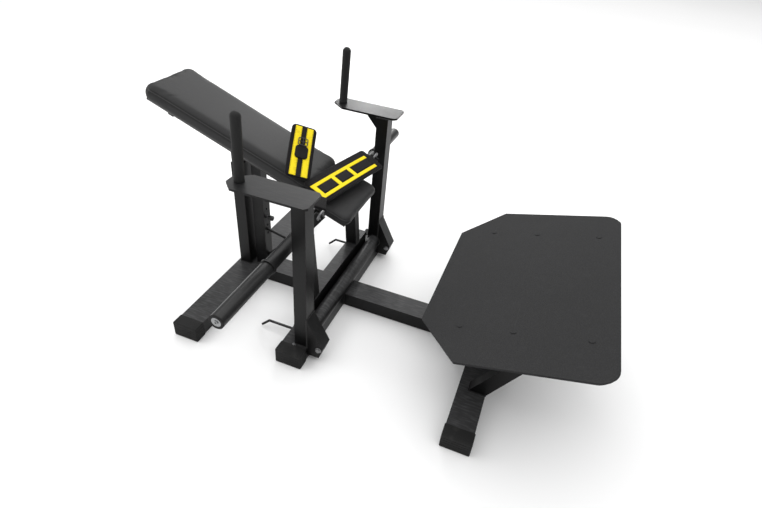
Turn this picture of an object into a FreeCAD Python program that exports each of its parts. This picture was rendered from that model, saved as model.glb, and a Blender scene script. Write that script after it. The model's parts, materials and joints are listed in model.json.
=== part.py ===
"""Hip thrust machine: a plate-loaded bench lever on a welded frame with a foot platform.

X runs from the head end to the foot platform, Y across the machine, Z up from the floor.
Pieces of the bench are drawn in the bench's own frame: its origin is the pivot axis,
its X runs along the bench and its Z stands square to the cushions.
"""
import os
import re

import FreeCAD
import Part
import Sketcher

Vector = FreeCAD.Vector
doc = FreeCAD.newDocument("HipThrustMachine")
sheet = doc.addObject("Spreadsheet::Sheet", "Sizes")

SIZES = {
    # stations along the machine, from the middle of the mid cross tube
    "mid_x": -141.4, "rear_gap": 422, "front_gap": 675,
    # floor tubes
    "tube_wide": 100, "tube_tall": 60, "tube_wall": 3, "cap_wall": 3, "cap_length": 42,
    "cap_end": 6, "rear_half": 490, "mid_half": 444, "front_half": 536,
    # uprights, gussets and top plates
    "upright_deep": 50, "upright_across": 60, "upright_x": 25, "upright_y": 361,
    "plate_top": 715, "plate_thick": 8, "plate_rear": 215, "plate_front": 83,
    "plate_inner": 335, "plate_outer": 445, "plate_corner": 34,
    "gusset_long": 62, "gusset_tall": 70, "gusset_thick": 6,
    # handles
    "handle_x": -179, "handle_y": 391, "handle_lean": 2.2, "handle_radius": 14, "handle_length": 212,
    "grip_radius": 17.5, "grip_gap": 0.2,
    # foot brackets and brace
    "bracket_long": 67, "bracket_cut": 17, "bracket_top": 206, "bracket_nose": 80, "bracket_low": 28,
    "bracket_bolt_x": 48, "bracket_bolt_z": 70, "hole_gap": 0.2,
    "brace_radius": 30, "brace_wall": 3, "brace_x": 33,
    # rest beam, posts and bumpers
    "rest_deep": 50, "rest_tall": 90, "rest_half": 305, "post_y": 205, "post_across": 40,
    "post_top": 422, "post_lean": 23, "bumper_thick": 12,
    # rear post and pivot
    "pivot_x": -435, "pivot_z": 585, "slope": 20, "rear_post_deep": 50, "rear_post_across": 100,
    "rear_post_top": 555, "lug_thick": 8, "lug_space": 4, "lug_top": 22,
    "pin_radius": 10, "pin_fit": 0.05, "pin_head_radius": 16, "boss_radius": 25, "bush_wall": 4,
    "bush_long": 20,
    # selector post, support bar and pull pin
    "selector_x": -366, "selector_side": 50, "selector_top": 430, "selector_hole": 5.5,
    "selector_pitch": 40, "support_gap": 0.5, "support_low": 240, "support_top": 545,
    "pull_pin_z": 305, "pull_pin_neck": 10, "pull_pin_tip": 12, "pull_pin_knob_radius": 11,
    "pull_pin_knob_long": 20, "rubber_gap": 0.3,
    # band hooks and belt loop
    "hook_y": 312, "hook_z": 47, "hook_radius": 5, "hook_long": 108, "hook_drop": 34,
    "loop_long": 102, "loop_drop": 24, "loop_low": 99, "loop_high": 245, "loop_radius": 6,
    # foot platform
    "platform_x": 445, "platform_z": 297, "platform_tilt": 15, "platform_long": 627,
    "platform_half": 475, "platform_rear_half": 291, "platform_cut": 158, "platform_thick": 8,
    "platform_round": 40, "support_x": 663, "support_deep": 62, "support_across": 44,
    "support_y": 305, "support_lean": 170, "rail_side": 40, "rail_inset": 60, "post_from_rear": 70,
    # bench rail
    "rail_across": 60, "rail_tall": 40, "rail_drop": 20, "rail_wall": 3, "rail_head": 350,
    "plug_end": 5,
    # horn bar
    "bar_u": 403, "bar_w": 24.3, "bar_radius": 24, "bar_wall": 4, "horn_start": 470,
    "horn_end": 739, "horn_radius": 25, "horn_cap": 4, "screw_tall": 2,
    "collar_radius": 29, "collar_length": 10,
    # belt anchors
    "anchor_y": 250, "anchor_thick": 8, "anchor_wide": 44, "anchor_top": 150,
    "anchor_u": 445, "anchor_eye": 8, "ring_seat": 0.3, "ring_radius": 17, "ring_rod": 4,
    # cushions
    "board_gap": 0.3, "board_thick": 10, "back_thick": 60, "back_head": 380, "back_foot": 345,
    "back_half": 125, "board_inset": 12, "clip_thick": 6, "clip_long": 60, "clip_deep": 26,
    "clip_gap": 0.5, "clip_head": -230, "clip_foot": 170,
    "seat_plate_thick": 5, "plate_head_inset": 6, "plate_foot_inset": 40,
    "seat_plate_half": 60, "seat_head": 355, "seat_foot": 530, "seat_half": 150, "seat_board_thick": 10, "seat_thick": 27,
    # pad knob
    "knob_u": -325, "knob_radius": 22, "knob_tall": 26, "stud_radius": 5, "knob_gap": 0.5,
    # belt
    "belt_wide": 116, "belt_near_wide": 94, "belt_thick": 14, "strap_wide": 40, "strap_thick": 4,
    "buckle_long": 50, "buckle_wide": 44, "buckle_thick": 6, "buckle_rod": 6,
    "far_hook_u": 443, "far_hook_y": 228.4, "far_hook_w": 148,
    "far_low_u": 371, "far_low_y": -150, "far_low_w": 137.5,
    "near_low_u": 292, "near_low_y": -150, "near_low_w": 151.8,
    "near_top_u": 196, "near_top_y": 26, "near_top_w": 238.3,
    "strap_hook_u": 430.6, "strap_hook_y": -236.7, "strap_hook_w": 160.1,
    "strap_low_u": 402, "strap_low_y": -166, "strap_low_w": 151.5,
    # fasteners
    "bolt_radius": 6, "head_radius": 10, "head_tall": 7,
}
for row, (name, size) in enumerate(SIZES.items(), start=1):
    sheet.set(f"A{row}", name)
    sheet.set(f"B{row}", str(size))
    sheet.setAlias(f"B{row}", name)
doc.recompute()

WORD = re.compile(r"[a-z_]{3,}")
FUNCTIONS = {"sin", "cos", "tan", "deg", "sqrt"}


def formula(text):
    """Turn sheet names in a formula into references to the sheet."""
    return WORD.sub(lambda m: m.group() if m.group() in FUNCTIONS else f"Sizes.{m.group()}", str(text))


def bind(thing, **formulas):
    """Bind properties to formulas of the sheet's names."""
    for name, text in formulas.items():
        thing.setExpression(name.replace("__", "."), formula(text))


def at(thing, x="0", y="0", z="0"):
    """Bind the place of a piece."""
    bind(thing, Placement__Base__x=x, Placement__Base__y=y, Placement__Base__z=z)
    return thing


def on_bench(thing, y="0"):
    """Place a piece that was drawn in the bench's own frame."""
    thing.Placement = FreeCAD.Placement(Vector(), FreeCAD.Rotation(Vector(0, 1, 0), SIZES["slope"]))
    bind(thing, Placement__Rotation__Angle="slope * 1 deg")
    return at(thing, "mid_x + pivot_x", y, "pivot_z")


def box(label, length, width, height, x="0", y="0", z="0"):
    """A box with its lowest corner at the given place."""
    solid = doc.addObject("Part::Box", label)
    bind(solid, Length=length, Width=width, Height=height)
    return at(solid, x, y, z)


def rod(label, radius, length, x="0", y="0", z="0", axis="z"):
    """A cylinder that starts at the given place and runs along +X, +Y or +Z."""
    solid = doc.addObject("Part::Cylinder", label)
    turn = {"z": (Vector(0, 0, 1), 0), "y": (Vector(1, 0, 0), -90), "x": (Vector(0, 1, 0), 90)}
    solid.Placement = FreeCAD.Placement(Vector(), FreeCAD.Rotation(*turn[axis]))
    bind(solid, Radius=radius, Height=length)
    return at(solid, x, y, z)


def cut(label, base, tool):
    solid = doc.addObject("Part::Cut", label)
    solid.Base = base
    solid.Tool = tool
    return solid


def fuse(label, *pieces):
    solid = doc.addObject("Part::MultiFuse", label)
    solid.Shapes = list(pieces)
    return solid


def square_tube(label, axis, length, wide, tall, wall, x, y, z):
    """An open rectangular tube; x, y, z are the lowest corner."""
    if axis == "y":
        outer = box(label + "_outer", wide, length, tall, x, y, z)
        bore = box(label + "_bore", f"{wide} - 2 * {wall}", f"{length} + 2", f"{tall} - 2 * {wall}",
                   f"{x} + {wall}", f"{y} - 1", f"{z} + {wall}")
    elif axis == "x":
        outer = box(label + "_outer", length, wide, tall, x, y, z)
        bore = box(label + "_bore", f"{length} + 2", f"{wide} - 2 * {wall}", f"{tall} - 2 * {wall}",
                   f"{x} - 1", f"{y} + {wall}", f"{z} + {wall}")
    else:
        outer = box(label + "_outer", wide, tall, length, x, y, z)
        bore = box(label + "_bore", f"{wide} - 2 * {wall}", f"{tall} - 2 * {wall}", f"{length} + 2",
                   f"{x} + {wall}", f"{y} + {wall}", f"{z} - 1")
    return cut(label, outer, bore)


def profile(body, name, plane, points):
    """A closed outline on one of the body's origin planes, each corner bound to two formulas."""
    sketch = body.newObject("Sketcher::SketchObject", name)
    support = next(f for f in body.Origin.OriginFeatures if f.Role == plane)
    sketch.AttachmentSupport = [(support, "")]
    sketch.MapMode = "FlatFace"
    count = len(points)
    start = [Vector(50, 0, 0)]
    for number in range(1, count):
        start.append(FreeCAD.Rotation(Vector(0, 0, 1), 360 * number / count).multVec(start[0]))
    for number in range(count):
        sketch.addGeometry(Part.LineSegment(start[number], start[(number + 1) % count]))
    for number in range(count):
        sketch.addConstraint(Sketcher.Constraint("Coincident", number, 2, (number + 1) % count, 1))
    for number, pair in enumerate(points):
        for kind, text, place in zip(("DistanceX", "DistanceY"), pair, start[number]):
            index = sketch.addConstraint(Sketcher.Constraint(kind, -1, 1, number, 1, place))
            sketch.setExpression(f"Constraints[{index}]", formula(text))
    return sketch


def plate(label, plane, points, thick, middle=False, reverse=False):
    """A padded outline: side profiles on XZ_Plane are padded both ways, flat ones upwards."""
    body = doc.addObject("PartDesign::Body", label)
    sketch = profile(body, label + "_outline", plane, points)
    pad = body.newObject("PartDesign::Pad", label + "_pad")
    pad.Profile = sketch
    pad.Midplane = middle
    pad.Reversed = reverse
    bind(pad, Length=thick)
    sketch.Visibility = False
    return body


def bar(label, plane, low_x, high_x, low_z, high_z, across):
    """A rectangular piece seen from the side, padded both ways across the machine."""
    corners = [(low_x, low_z), (high_x, low_z), (high_x, high_z), (low_x, high_z)]
    return plate(label, plane, corners, across, middle=True)


def bent_rod(label, radius, bends):
    """A round rod that starts at its own origin towards -X and bends in the XZ plane."""
    body = doc.addObject("PartDesign::Body", label)
    path = body.newObject("Sketcher::SketchObject", label + "_path")
    planes = {f.Role: f for f in body.Origin.OriginFeatures}
    path.AttachmentSupport = [(planes["XZ_Plane"], "")]
    path.MapMode = "FlatFace"
    last = Vector()
    for number in range(len(bends)):
        point = Vector(-40 * (number + 1), -5 * number, 0)
        path.addGeometry(Part.LineSegment(last, point))
        last = point
    path.addConstraint(Sketcher.Constraint("Coincident", 0, 1, -1, 1))
    for number in range(1, len(bends)):
        path.addConstraint(Sketcher.Constraint("Coincident", number - 1, 2, number, 1))
    for number, pair in enumerate(bends):
        for kind, text, place in zip(("DistanceX", "DistanceY"), pair, (-40 * (number + 1), -5 * number)):
            index = path.addConstraint(Sketcher.Constraint(kind, -1, 1, number, 2, place - 1))
            path.setExpression(f"Constraints[{index}]", formula(text))
    ring = body.newObject("Sketcher::SketchObject", label + "_section")
    ring.AttachmentSupport = [(planes["YZ_Plane"], "")]
    ring.MapMode = "FlatFace"
    ring.addGeometry(Part.Circle(Vector(), Vector(0, 0, 1), 5))
    ring.addConstraint(Sketcher.Constraint("Coincident", 0, 3, -1, 1))
    index = ring.addConstraint(Sketcher.Constraint("Radius", 0, 5))
    ring.setExpression(f"Constraints[{index}]", formula(radius))
    pipe = body.newObject("PartDesign::AdditivePipe", label + "_pipe")
    pipe.Profile = ring
    pipe.Spine = path
    pipe.Transition = "Round corner"
    return body


SIDES = {"right": -1, "left": 1}
finished = []


def keep(*pieces):
    """Note finished sub-parts, in the order in which they are written."""
    finished.extend(pieces)
    return pieces[0]


# Floor tubes: three cross tubes and a spine between them, open boxes with pressed-on foot caps.
def floor_tubes():
    spots = {"rear": "mid_x - rear_gap", "mid": "mid_x", "front": "mid_x + front_gap"}
    for name, station in spots.items():
        half = f"{name}_half"
        keep(square_tube(f"{name}_cross_tube", "y", f"2 * {half}", "tube_wide", "tube_tall",
                         "tube_wall", f"{station} - tube_wide / 2", f"0 - {half}", "cap_wall"))
        caps = []
        for side, sign in SIDES.items():
            label = f"{name}_foot_cap_{side}"
            start = f"{half} + cap_end - cap_length" if sign > 0 else f"0 - {half} - cap_end"
            shell = box(label + "_shell", "tube_wide + 2 * cap_wall", "cap_length",
                        "tube_tall + 2 * cap_wall", f"{station} - tube_wide / 2 - cap_wall", start, "0")
            hollow_start = f"{half} - cap_length" if sign > 0 else f"0 - {half}"
            hollow = box(label + "_hollow", "tube_wide", "cap_length", "tube_tall",
                         f"{station} - tube_wide / 2", hollow_start, "cap_wall")
            caps.append(cut(label, shell, hollow))
        keep(group(f"{name}_foot_caps", caps))
    keep(square_tube("spine_rear", "x", "rear_gap - tube_wide", "tube_wide", "tube_tall", "tube_wall",
                     "mid_x - rear_gap + tube_wide / 2", "0 - tube_wide / 2", "cap_wall"))
    keep(square_tube("spine_front", "x", "front_gap - tube_wide", "tube_wide", "tube_tall",
                     "tube_wall", "mid_x + tube_wide / 2", "0 - tube_wide / 2", "cap_wall"))


FLOOR_TOP = "cap_wall + tube_tall"


# Uprights: square posts on the mid tube, each with a top plate, a gusset and a gripped handle.
def uprights():
    gussets = []
    bars = []
    for side, sign in SIDES.items():
        across = f"{sign} * upright_y"
        keep(square_tube(f"upright_{side}", "z", f"plate_top - plate_thick - ({FLOOR_TOP})",
                         "upright_deep", "upright_across", "tube_wall",
                         "mid_x + upright_x - upright_deep / 2",
                         f"{across} - upright_across / 2", FLOOR_TOP))
        under = "plate_top - plate_thick"
        face = "mid_x + upright_x - upright_deep / 2"
        corners = [(face, under), (f"{face} - gusset_long", under), (face, f"{under} - gusset_tall")]
        gusset = plate(f"gusset_{side}", "XZ_Plane", corners, "gusset_thick", middle=True)
        gussets.append(at(gusset, y=across))
        top_plate(side, sign)
        bars.append(handle(side, sign))
    keep(group("upright_gussets", gussets))
    keep(group("handle_bars", bars))


def top_plate(side, sign):
    inner, outer = f"{sign} * plate_inner", f"{sign} * plate_outer"
    rear, front = "mid_x - plate_rear", "mid_x + plate_front"
    corners = [
        (f"{rear} + plate_corner * 1.6", inner), (f"{front} - plate_corner / 3", inner),
        (front, f"{inner} + {sign} * plate_corner / 3"), (front, f"{outer} - {sign} * plate_corner / 3"),
        (f"{front} - plate_corner / 3", outer), (f"{rear} + plate_corner", outer),
        (rear, f"{outer} - {sign} * plate_corner"), (rear, f"{inner} + {sign} * plate_corner * 1.3"),
    ]
    keep(at(plate(f"top_plate_{side}", "XY_Plane", corners, "plate_thick"),
            z="plate_top - plate_thick"))


def handle(side, sign):
    sleeve = rod(f"grip_{side}_sleeve", "grip_radius", "handle_length")
    dome = doc.addObject("Part::Sphere", f"grip_{side}_dome")
    bind(dome, Radius="grip_radius")
    at(dome, z="handle_length")
    bore = rod(f"grip_{side}_bore", "handle_radius + grip_gap", "handle_length + 1", z="0 - 1")
    grip = cut(f"grip_{side}", fuse(f"grip_{side}_solid", sleeve, dome), bore)
    bar = rod(f"handle_bar_{side}", "handle_radius", "handle_length")
    for piece in (grip, bar):
        piece.Placement = FreeCAD.Placement(Vector(), FreeCAD.Rotation(Vector(0, 1, 0), SIZES["handle_lean"]))
        bind(piece, Placement__Rotation__Angle="handle_lean * 1 deg")
        at(piece, "mid_x + handle_x", f"{sign} * handle_y",
           "plate_top + grip_radius * sin(handle_lean * 1 deg)")
    keep(grip)
    return bar


# Feet of the uprights: wedge brackets with a through bolt, and a round brace between the posts.
def foot_brackets():
    face = "mid_x + upright_x + upright_deep / 2"
    bolt_x = f"{face} + bracket_bolt_x"
    outline = [(face, "bracket_top"), (face, "bracket_low"),
               (f"{face} + bracket_long - bracket_cut", "bracket_low"),
               (f"{face} + bracket_long", "bracket_nose")]
    bolts = []
    for side, sign in SIDES.items():
        label = f"foot_bracket_{side}"
        wedge = plate(label + "_wedge", "XZ_Plane", outline, "upright_across", middle=True)
        at(wedge, y=f"{sign} * upright_y")
        low = f"{sign} * upright_y - upright_across / 2"
        hole = rod(label + "_hole", "bolt_radius + hole_gap", "upright_across + 2",
                   bolt_x, f"{low} - 1", "bracket_bolt_z", "y")
        keep(cut(label, wedge, hole))
        bolts.append(through_bolt(f"foot_bolt_{side}", bolt_x, low, "bracket_bolt_z", "upright_across", "y"))
    keep(group("foot_bolts", bolts))
    span = "upright_y - upright_across / 2"
    brace_z = f"{FLOOR_TOP} + brace_radius"
    outer = rod("brace_outer", "brace_radius", f"2 * ({span})", "mid_x + brace_x", f"0 - ({span})", brace_z, "y")
    bore = rod("brace_bore", "brace_radius - brace_wall", f"2 * ({span}) + 2", "mid_x + brace_x",
               f"0 - ({span}) - 1", brace_z, "y")
    keep(cut("brace_tube", outer, bore))


def through_bolt(label, x, start, z, grip, axis):
    """A bolt through a thickness: shank, head at the start and nut at the far side."""
    shank = rod(label + "_shank", "bolt_radius", grip, x, start, z, axis)
    ends = {"y": ((x, f"{start} - head_tall", z), (x, f"{start} + {grip}", z))}[axis]
    head = rod(label + "_head", "head_radius", "head_tall", *ends[0], axis)
    nut = rod(label + "_nut", "head_radius", "head_tall", *ends[1], axis)
    return fuse(label, shank, head, nut)


def group(label, pieces):
    """Like pieces that share one file as separate solids."""
    together = doc.addObject("Part::Compound", label)
    together.Links = pieces
    return together


# Rest beam, its two leaning posts and their rubber bumpers: they catch the horn bar.
def rest_posts():
    rear = "mid_x - tube_wide / 2"
    front = f"{rear} + rest_deep"
    keep(square_tube("rest_beam", "y", "2 * rest_half", "rest_deep", "rest_tall", "tube_wall",
                     rear, "0 - rest_half", FLOOR_TOP))
    beam_top = f"{FLOOR_TOP} + rest_tall"
    bumpers = []
    for side, sign in SIDES.items():
        outline = [(rear, beam_top), (front, beam_top),
                   (f"{front} - post_lean", "post_top"), (f"{rear} - post_lean", "post_top")]
        keep(at(plate(f"rest_post_{side}", "XZ_Plane", outline, "post_across", middle=True),
                y=f"{sign} * post_y"))
        bumpers.append(box(f"rest_bumper_{side}", "rest_deep", "post_across", "bumper_thick",
                           f"{rear} - post_lean", f"{sign} * post_y - post_across / 2",
                           "post_top"))
    keep(group("rest_bumpers", bumpers))


# Rear post with the pivot lugs and pin.
def rear_post():
    x = "mid_x + pivot_x"
    keep(square_tube("rear_post", "z", f"rear_post_top - ({FLOOR_TOP})", "rear_post_deep",
                     "rear_post_across", "tube_wall", f"{x} - rear_post_deep / 2",
                     "0 - rear_post_across / 2", FLOOR_TOP))
    inner = "(rail_across / 2 + lug_space)"
    lugs = []
    for side, sign in SIDES.items():
        start = inner if sign > 0 else f"0 - {inner} - lug_thick"
        lug = box(f"pivot_lug_{side}_plate", "rear_post_deep", "lug_thick",
                  "pivot_z + lug_top - rear_post_top", f"{x} - rear_post_deep / 2", start, "rear_post_top")
        hole = rod(f"pivot_lug_{side}_hole", "pin_radius + pin_fit", "lug_thick + 2", x, f"{start} - 1",
                   "pivot_z", "y")
        lugs.append(cut(f"pivot_lug_{side}", lug, hole))
    keep(group("pivot_lugs", lugs))
    reach = f"{inner} + lug_thick"
    shaft = rod("pivot_pin_shaft", "pin_radius", f"2 * ({reach})", x, f"0 - ({reach})", "pivot_z", "y")
    head = rod("pivot_pin_head", "pin_head_radius", "head_tall", x, f"0 - ({reach}) - head_tall", "pivot_z", "y")
    nut = rod("pivot_pin_nut", "pin_head_radius", "head_tall", x, reach, "pivot_z", "y")
    keep(fuse("pivot_pin", shaft, head, nut))


# Selector post with its row of holes, the telescoping support bar and the spring pull pin.
def selector():
    x = "mid_x + selector_x"
    tube = square_tube("selector_tube", "z", f"selector_top - ({FLOOR_TOP})", "selector_side",
                       "selector_side", "tube_wall", f"{x} - selector_side / 2",
                       "0 - selector_side / 2", FLOOR_TOP)
    holes = []
    for number in range(-2, 3):
        holes.append(rod(f"selector_hole_{number + 3}", "selector_hole", "selector_side / 2 + 2", x, "0",
                         f"pull_pin_z + {number} * selector_pitch", "x"))
    keep(cut("selector_post", tube, fuse("selector_holes", *holes)))
    side = "selector_side - 2 * tube_wall - 2 * support_gap"
    low = "support_low"
    solid = box("support_bar_solid", side, side, f"support_top - {low}", f"{x} - ({side}) / 2",
                f"0 - ({side}) / 2", low)
    bar_holes = []
    for number in range(0, 4):
        bar_holes.append(rod(f"support_hole_{number + 1}", "selector_hole", "selector_side / 2 + 2", x, "0",
                             f"pull_pin_z + {number} * selector_pitch", "x"))
    keep(cut("support_bar", solid, fuse("support_holes", *bar_holes)))
    rest = [(f"{x} - ({side}) / 2", "support_top"), (f"{x} + ({side}) / 2", "support_top"),
            (f"{x} + ({side}) / 2", f"{rail_under(f'selector_x + ({side}) / 2')} - rubber_gap"),
            (f"{x} - ({side}) / 2", f"{rail_under(f'selector_x - ({side}) / 2')} - rubber_gap")]
    keep(plate("support_rubber", "XZ_Plane", rest, side, middle=True))
    start = f"{x} + selector_side / 2 - tube_wall - pull_pin_tip"
    pin = rod("pull_pin_tip", "selector_hole - pin_fit", "tube_wall + pull_pin_tip + pull_pin_neck",
              start, "0", "pull_pin_z", "x")
    knob = rod("pull_pin_knob", "pull_pin_knob_radius", "pull_pin_knob_long",
               f"{x} + selector_side / 2 + pull_pin_neck", "0", "pull_pin_z", "x")
    keep(fuse("pull_pin", pin, knob))


def rail_under(offset):
    """Height of the rail's underside at a station counted from the mid cross tube."""
    return f"pivot_z + rail_drop / cos(slope * 1 deg) - ({offset} - pivot_x) * tan(slope * 1 deg)"


# Bent rods: band hooks behind the mid tube and the belt loop on the selector post.
def bent_rods():
    hooks = []
    for side, sign in SIDES.items():
        hook = bent_rod(f"band_hook_{side}", "hook_radius",
                        [("0 - hook_long", "0"), ("0 - hook_long - hook_drop", "0 - hook_drop")])
        hooks.append(at(hook, "mid_x - tube_wide / 2", f"{sign} * hook_y", "hook_z"))
    keep(group("band_hooks", hooks))
    face = "mid_x + selector_x + selector_side / 2"
    loop = bent_rod("belt_loop_rod", "loop_radius",
                    [("loop_long + loop_radius", "0 - loop_drop"), ("0", "loop_low - loop_high")])
    at(loop, f"{face} - loop_radius", "0", "loop_high")
    trim = box("belt_loop_trim", "selector_side", "selector_side", "2 * loop_high", f"{face} - selector_side",
               "0 - selector_side / 2", "0")
    keep(cut("belt_loop", loop, trim))


# Foot platform: a cut-corner plate on two side rails and a cross rail, carried by three posts.
def platform():
    outline = [("0", "0 - platform_rear_half"), ("platform_cut", "0 - platform_half"),
               ("platform_long - platform_round", "0 - platform_half"),
               ("platform_long", "platform_round - platform_half"),
               ("platform_long", "platform_half - platform_round"),
               ("platform_long - platform_round", "platform_half"),
               ("platform_cut", "platform_half"), ("0", "platform_rear_half")]
    deck = plate("foot_platform_sheet", "XY_Plane", outline, "platform_thick", reverse=True)
    holes = []
    bolts = []
    for side, sign in SIDES.items():
        for number, station in enumerate(("platform_cut - rail_side / 2", "platform_long / 2",
                                          "platform_long - rail_inset - rail_side / 2"), start=1):
            place = (station, f"{sign} * support_y", "0 - platform_thick")
            label = f"platform_bolt_{side}_{number}"
            holes.append(rod(label + "_hole", "bolt_radius + hole_gap", "platform_thick + 1", *place))
            shank = rod(label + "_shank", "bolt_radius", "platform_thick", *place)
            head = rod(label + "_head", "head_radius", "screw_tall", place[0], place[1])
            bolts.append(fuse(label, shank, head))
    keep(on_platform(cut("foot_platform", deck, fuse("platform_bolt_holes", *holes))))
    keep(on_platform(group("platform_bolts", bolts)))
    rails = []
    for side, sign in SIDES.items():
        rail = bar(f"platform_rail_{side}", "XZ_Plane", "platform_cut - rail_side", "platform_long - rail_inset",
                   "0 - platform_thick - rail_side", "0 - platform_thick", "rail_side")
        rails.append(at(rail, y=f"{sign} * support_y"))
    cross = bar("platform_cross_rail", "XZ_Plane", "platform_cut - 2 * rail_side", "platform_cut - rail_side",
                "0 - platform_thick - rail_side", "0 - platform_thick", "2 * support_y + rail_side")
    keep(on_platform(group("platform_rails", rails + [cross])))
    supports = []
    for side, sign in SIDES.items():
        near, far = "support_x", "support_x + support_deep"
        outline = [(f"mid_x + {near}", FLOOR_TOP), (f"mid_x + {far}", FLOOR_TOP),
                   (f"mid_x + {far} + support_lean", rail_base(f"{far} + support_lean")),
                   (f"mid_x + {near} + support_lean", rail_base(f"{near} + support_lean"))]
        leg = plate(f"platform_support_{side}", "XZ_Plane", outline, "support_across", middle=True)
        supports.append(at(leg, y=f"{sign} * support_y"))
    keep(group("platform_supports", supports))
    near, far = "platform_x + post_from_rear", "platform_x + post_from_rear + upright_deep"
    outline = [(f"mid_x + {near}", FLOOR_TOP), (f"mid_x + {far}", FLOOR_TOP),
               (f"mid_x + {far}", rail_base(far)), (f"mid_x + {near}", rail_base(near))]
    keep(plate("platform_post", "XZ_Plane", outline, "upright_across", middle=True))


def on_platform(thing, y="0"):
    """Place a piece that was drawn on the platform's sloping top."""
    thing.Placement = FreeCAD.Placement(Vector(), FreeCAD.Rotation(Vector(0, -1, 0), SIZES["platform_tilt"]))
    bind(thing, Placement__Rotation__Angle="platform_tilt * 1 deg")
    return at(thing, "mid_x + platform_x", y, "platform_z")


def rail_base(offset):
    """Height of the platform rails' underside at a station counted from the mid cross tube."""
    return (f"platform_z + ({offset} - platform_x) * tan(platform_tilt * 1 deg)"
            " - (platform_thick + rail_side) / cos(platform_tilt * 1 deg)")


# Bench rail with its pivot boss and bushes.
def bench_rail():
    solid = bar("bench_rail_outer", "XZ_Plane", "0 - rail_head", "bar_u", "rail_drop",
                "rail_drop + rail_tall", "rail_across")
    bore = bar("bench_rail_bore", "XZ_Plane", "0 - rail_head - 1", "bar_u + 1", "rail_drop + rail_wall",
               "rail_drop + rail_tall - rail_wall", "rail_across - 2 * rail_wall")
    cope = rod("bench_rail_cope", "bar_radius", "rail_across + 2", "bar_u", "0 - rail_across / 2 - 1",
               "bar_w", "y")
    keep(on_bench(cut("bench_rail", cut("bench_rail_tube", solid, bore), cope)))
    keep(on_bench(bar("rail_plug", "XZ_Plane", "0 - rail_head - plug_end", "0 - rail_head", "rail_drop",
                      "rail_drop + rail_tall", "rail_across")))
    half = "rail_across / 2"
    outer = rod("pivot_boss_outer", "boss_radius", "rail_across", "0", f"0 - {half}", "0", "y")
    bore = rod("pivot_boss_bore", "pin_radius + bush_wall", "rail_across + 2", "0", f"0 - {half} - 1",
               "0", "y")
    saddle = box("pivot_boss_saddle", "2 * boss_radius + 2", "rail_across + 2", "boss_radius",
                 "0 - boss_radius - 1", f"0 - {half} - 1", "rail_drop")
    keep(on_bench(cut("pivot_boss", outer, fuse("pivot_boss_cuts", bore, saddle))))
    sleeves = []
    for side, sign in SIDES.items():
        start = f"{half} - bush_long" if sign > 0 else f"0 - {half}"
        sleeve = rod(f"bush_{side}_sleeve", "pin_radius + bush_wall", "bush_long", "0", start, "0", "y")
        hole = rod(f"bush_{side}_hole", "pin_radius + pin_fit", "bush_long + 2", "0", f"{start} - 1", "0", "y")
        sleeves.append(cut(f"bush_{side}", sleeve, hole))
    keep(on_bench(group("pivot_bushes", sleeves)))


# Horn bar across the machine, with a plate horn, a stop collar and an end cap on each side.
def horn_bar():
    outer = rod("horn_bar_outer", "bar_radius", "2 * horn_start", "bar_u", "0 - horn_start", "bar_w", "y")
    bore = rod("horn_bar_bore", "bar_radius - bar_wall", "2 * horn_start + 2", "bar_u", "0 - horn_start - 1",
               "bar_w", "y")
    keep(on_bench(cut("horn_bar", outer, bore)))
    collars = []
    caps = []
    for side, sign in SIDES.items():
        start = "horn_start" if sign > 0 else "0 - horn_end"
        tube = rod(f"horn_{side}_outer", "horn_radius", "horn_end - horn_start", "bar_u", start, "bar_w", "y")
        hole = rod(f"horn_{side}_bore", "horn_radius - bar_wall", "horn_end - horn_start + 2", "bar_u",
                   f"{start} - 1", "bar_w", "y")
        keep(on_bench(cut(f"plate_horn_{side}", tube, hole)))
        start = "horn_start - collar_length" if sign > 0 else "0 - horn_start"
        ring = rod(f"horn_collar_{side}_outer", "collar_radius", "collar_length", "bar_u", start, "bar_w", "y")
        hole = rod(f"horn_collar_{side}_bore", "bar_radius", "collar_length + 2", "bar_u", f"{start} - 1",
                   "bar_w", "y")
        collars.append(cut(f"horn_collar_{side}", ring, hole))
        start = "horn_end" if sign > 0 else "0 - horn_end - horn_cap"
        disc = rod(f"horn_cap_{side}_disc", "horn_radius", "horn_cap", "bar_u", start, "bar_w", "y")
        start = "horn_end" if sign > 0 else "0 - horn_end - horn_cap - screw_tall"
        screw = rod(f"horn_cap_{side}_screw", "bolt_radius", "horn_cap + screw_tall", "bar_u", start, "bar_w", "y")
        caps.append(fuse(f"horn_cap_{side}", disc, screw))
    keep(on_bench(group("horn_collars", collars)))
    keep(on_bench(group("horn_caps", caps)))


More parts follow.
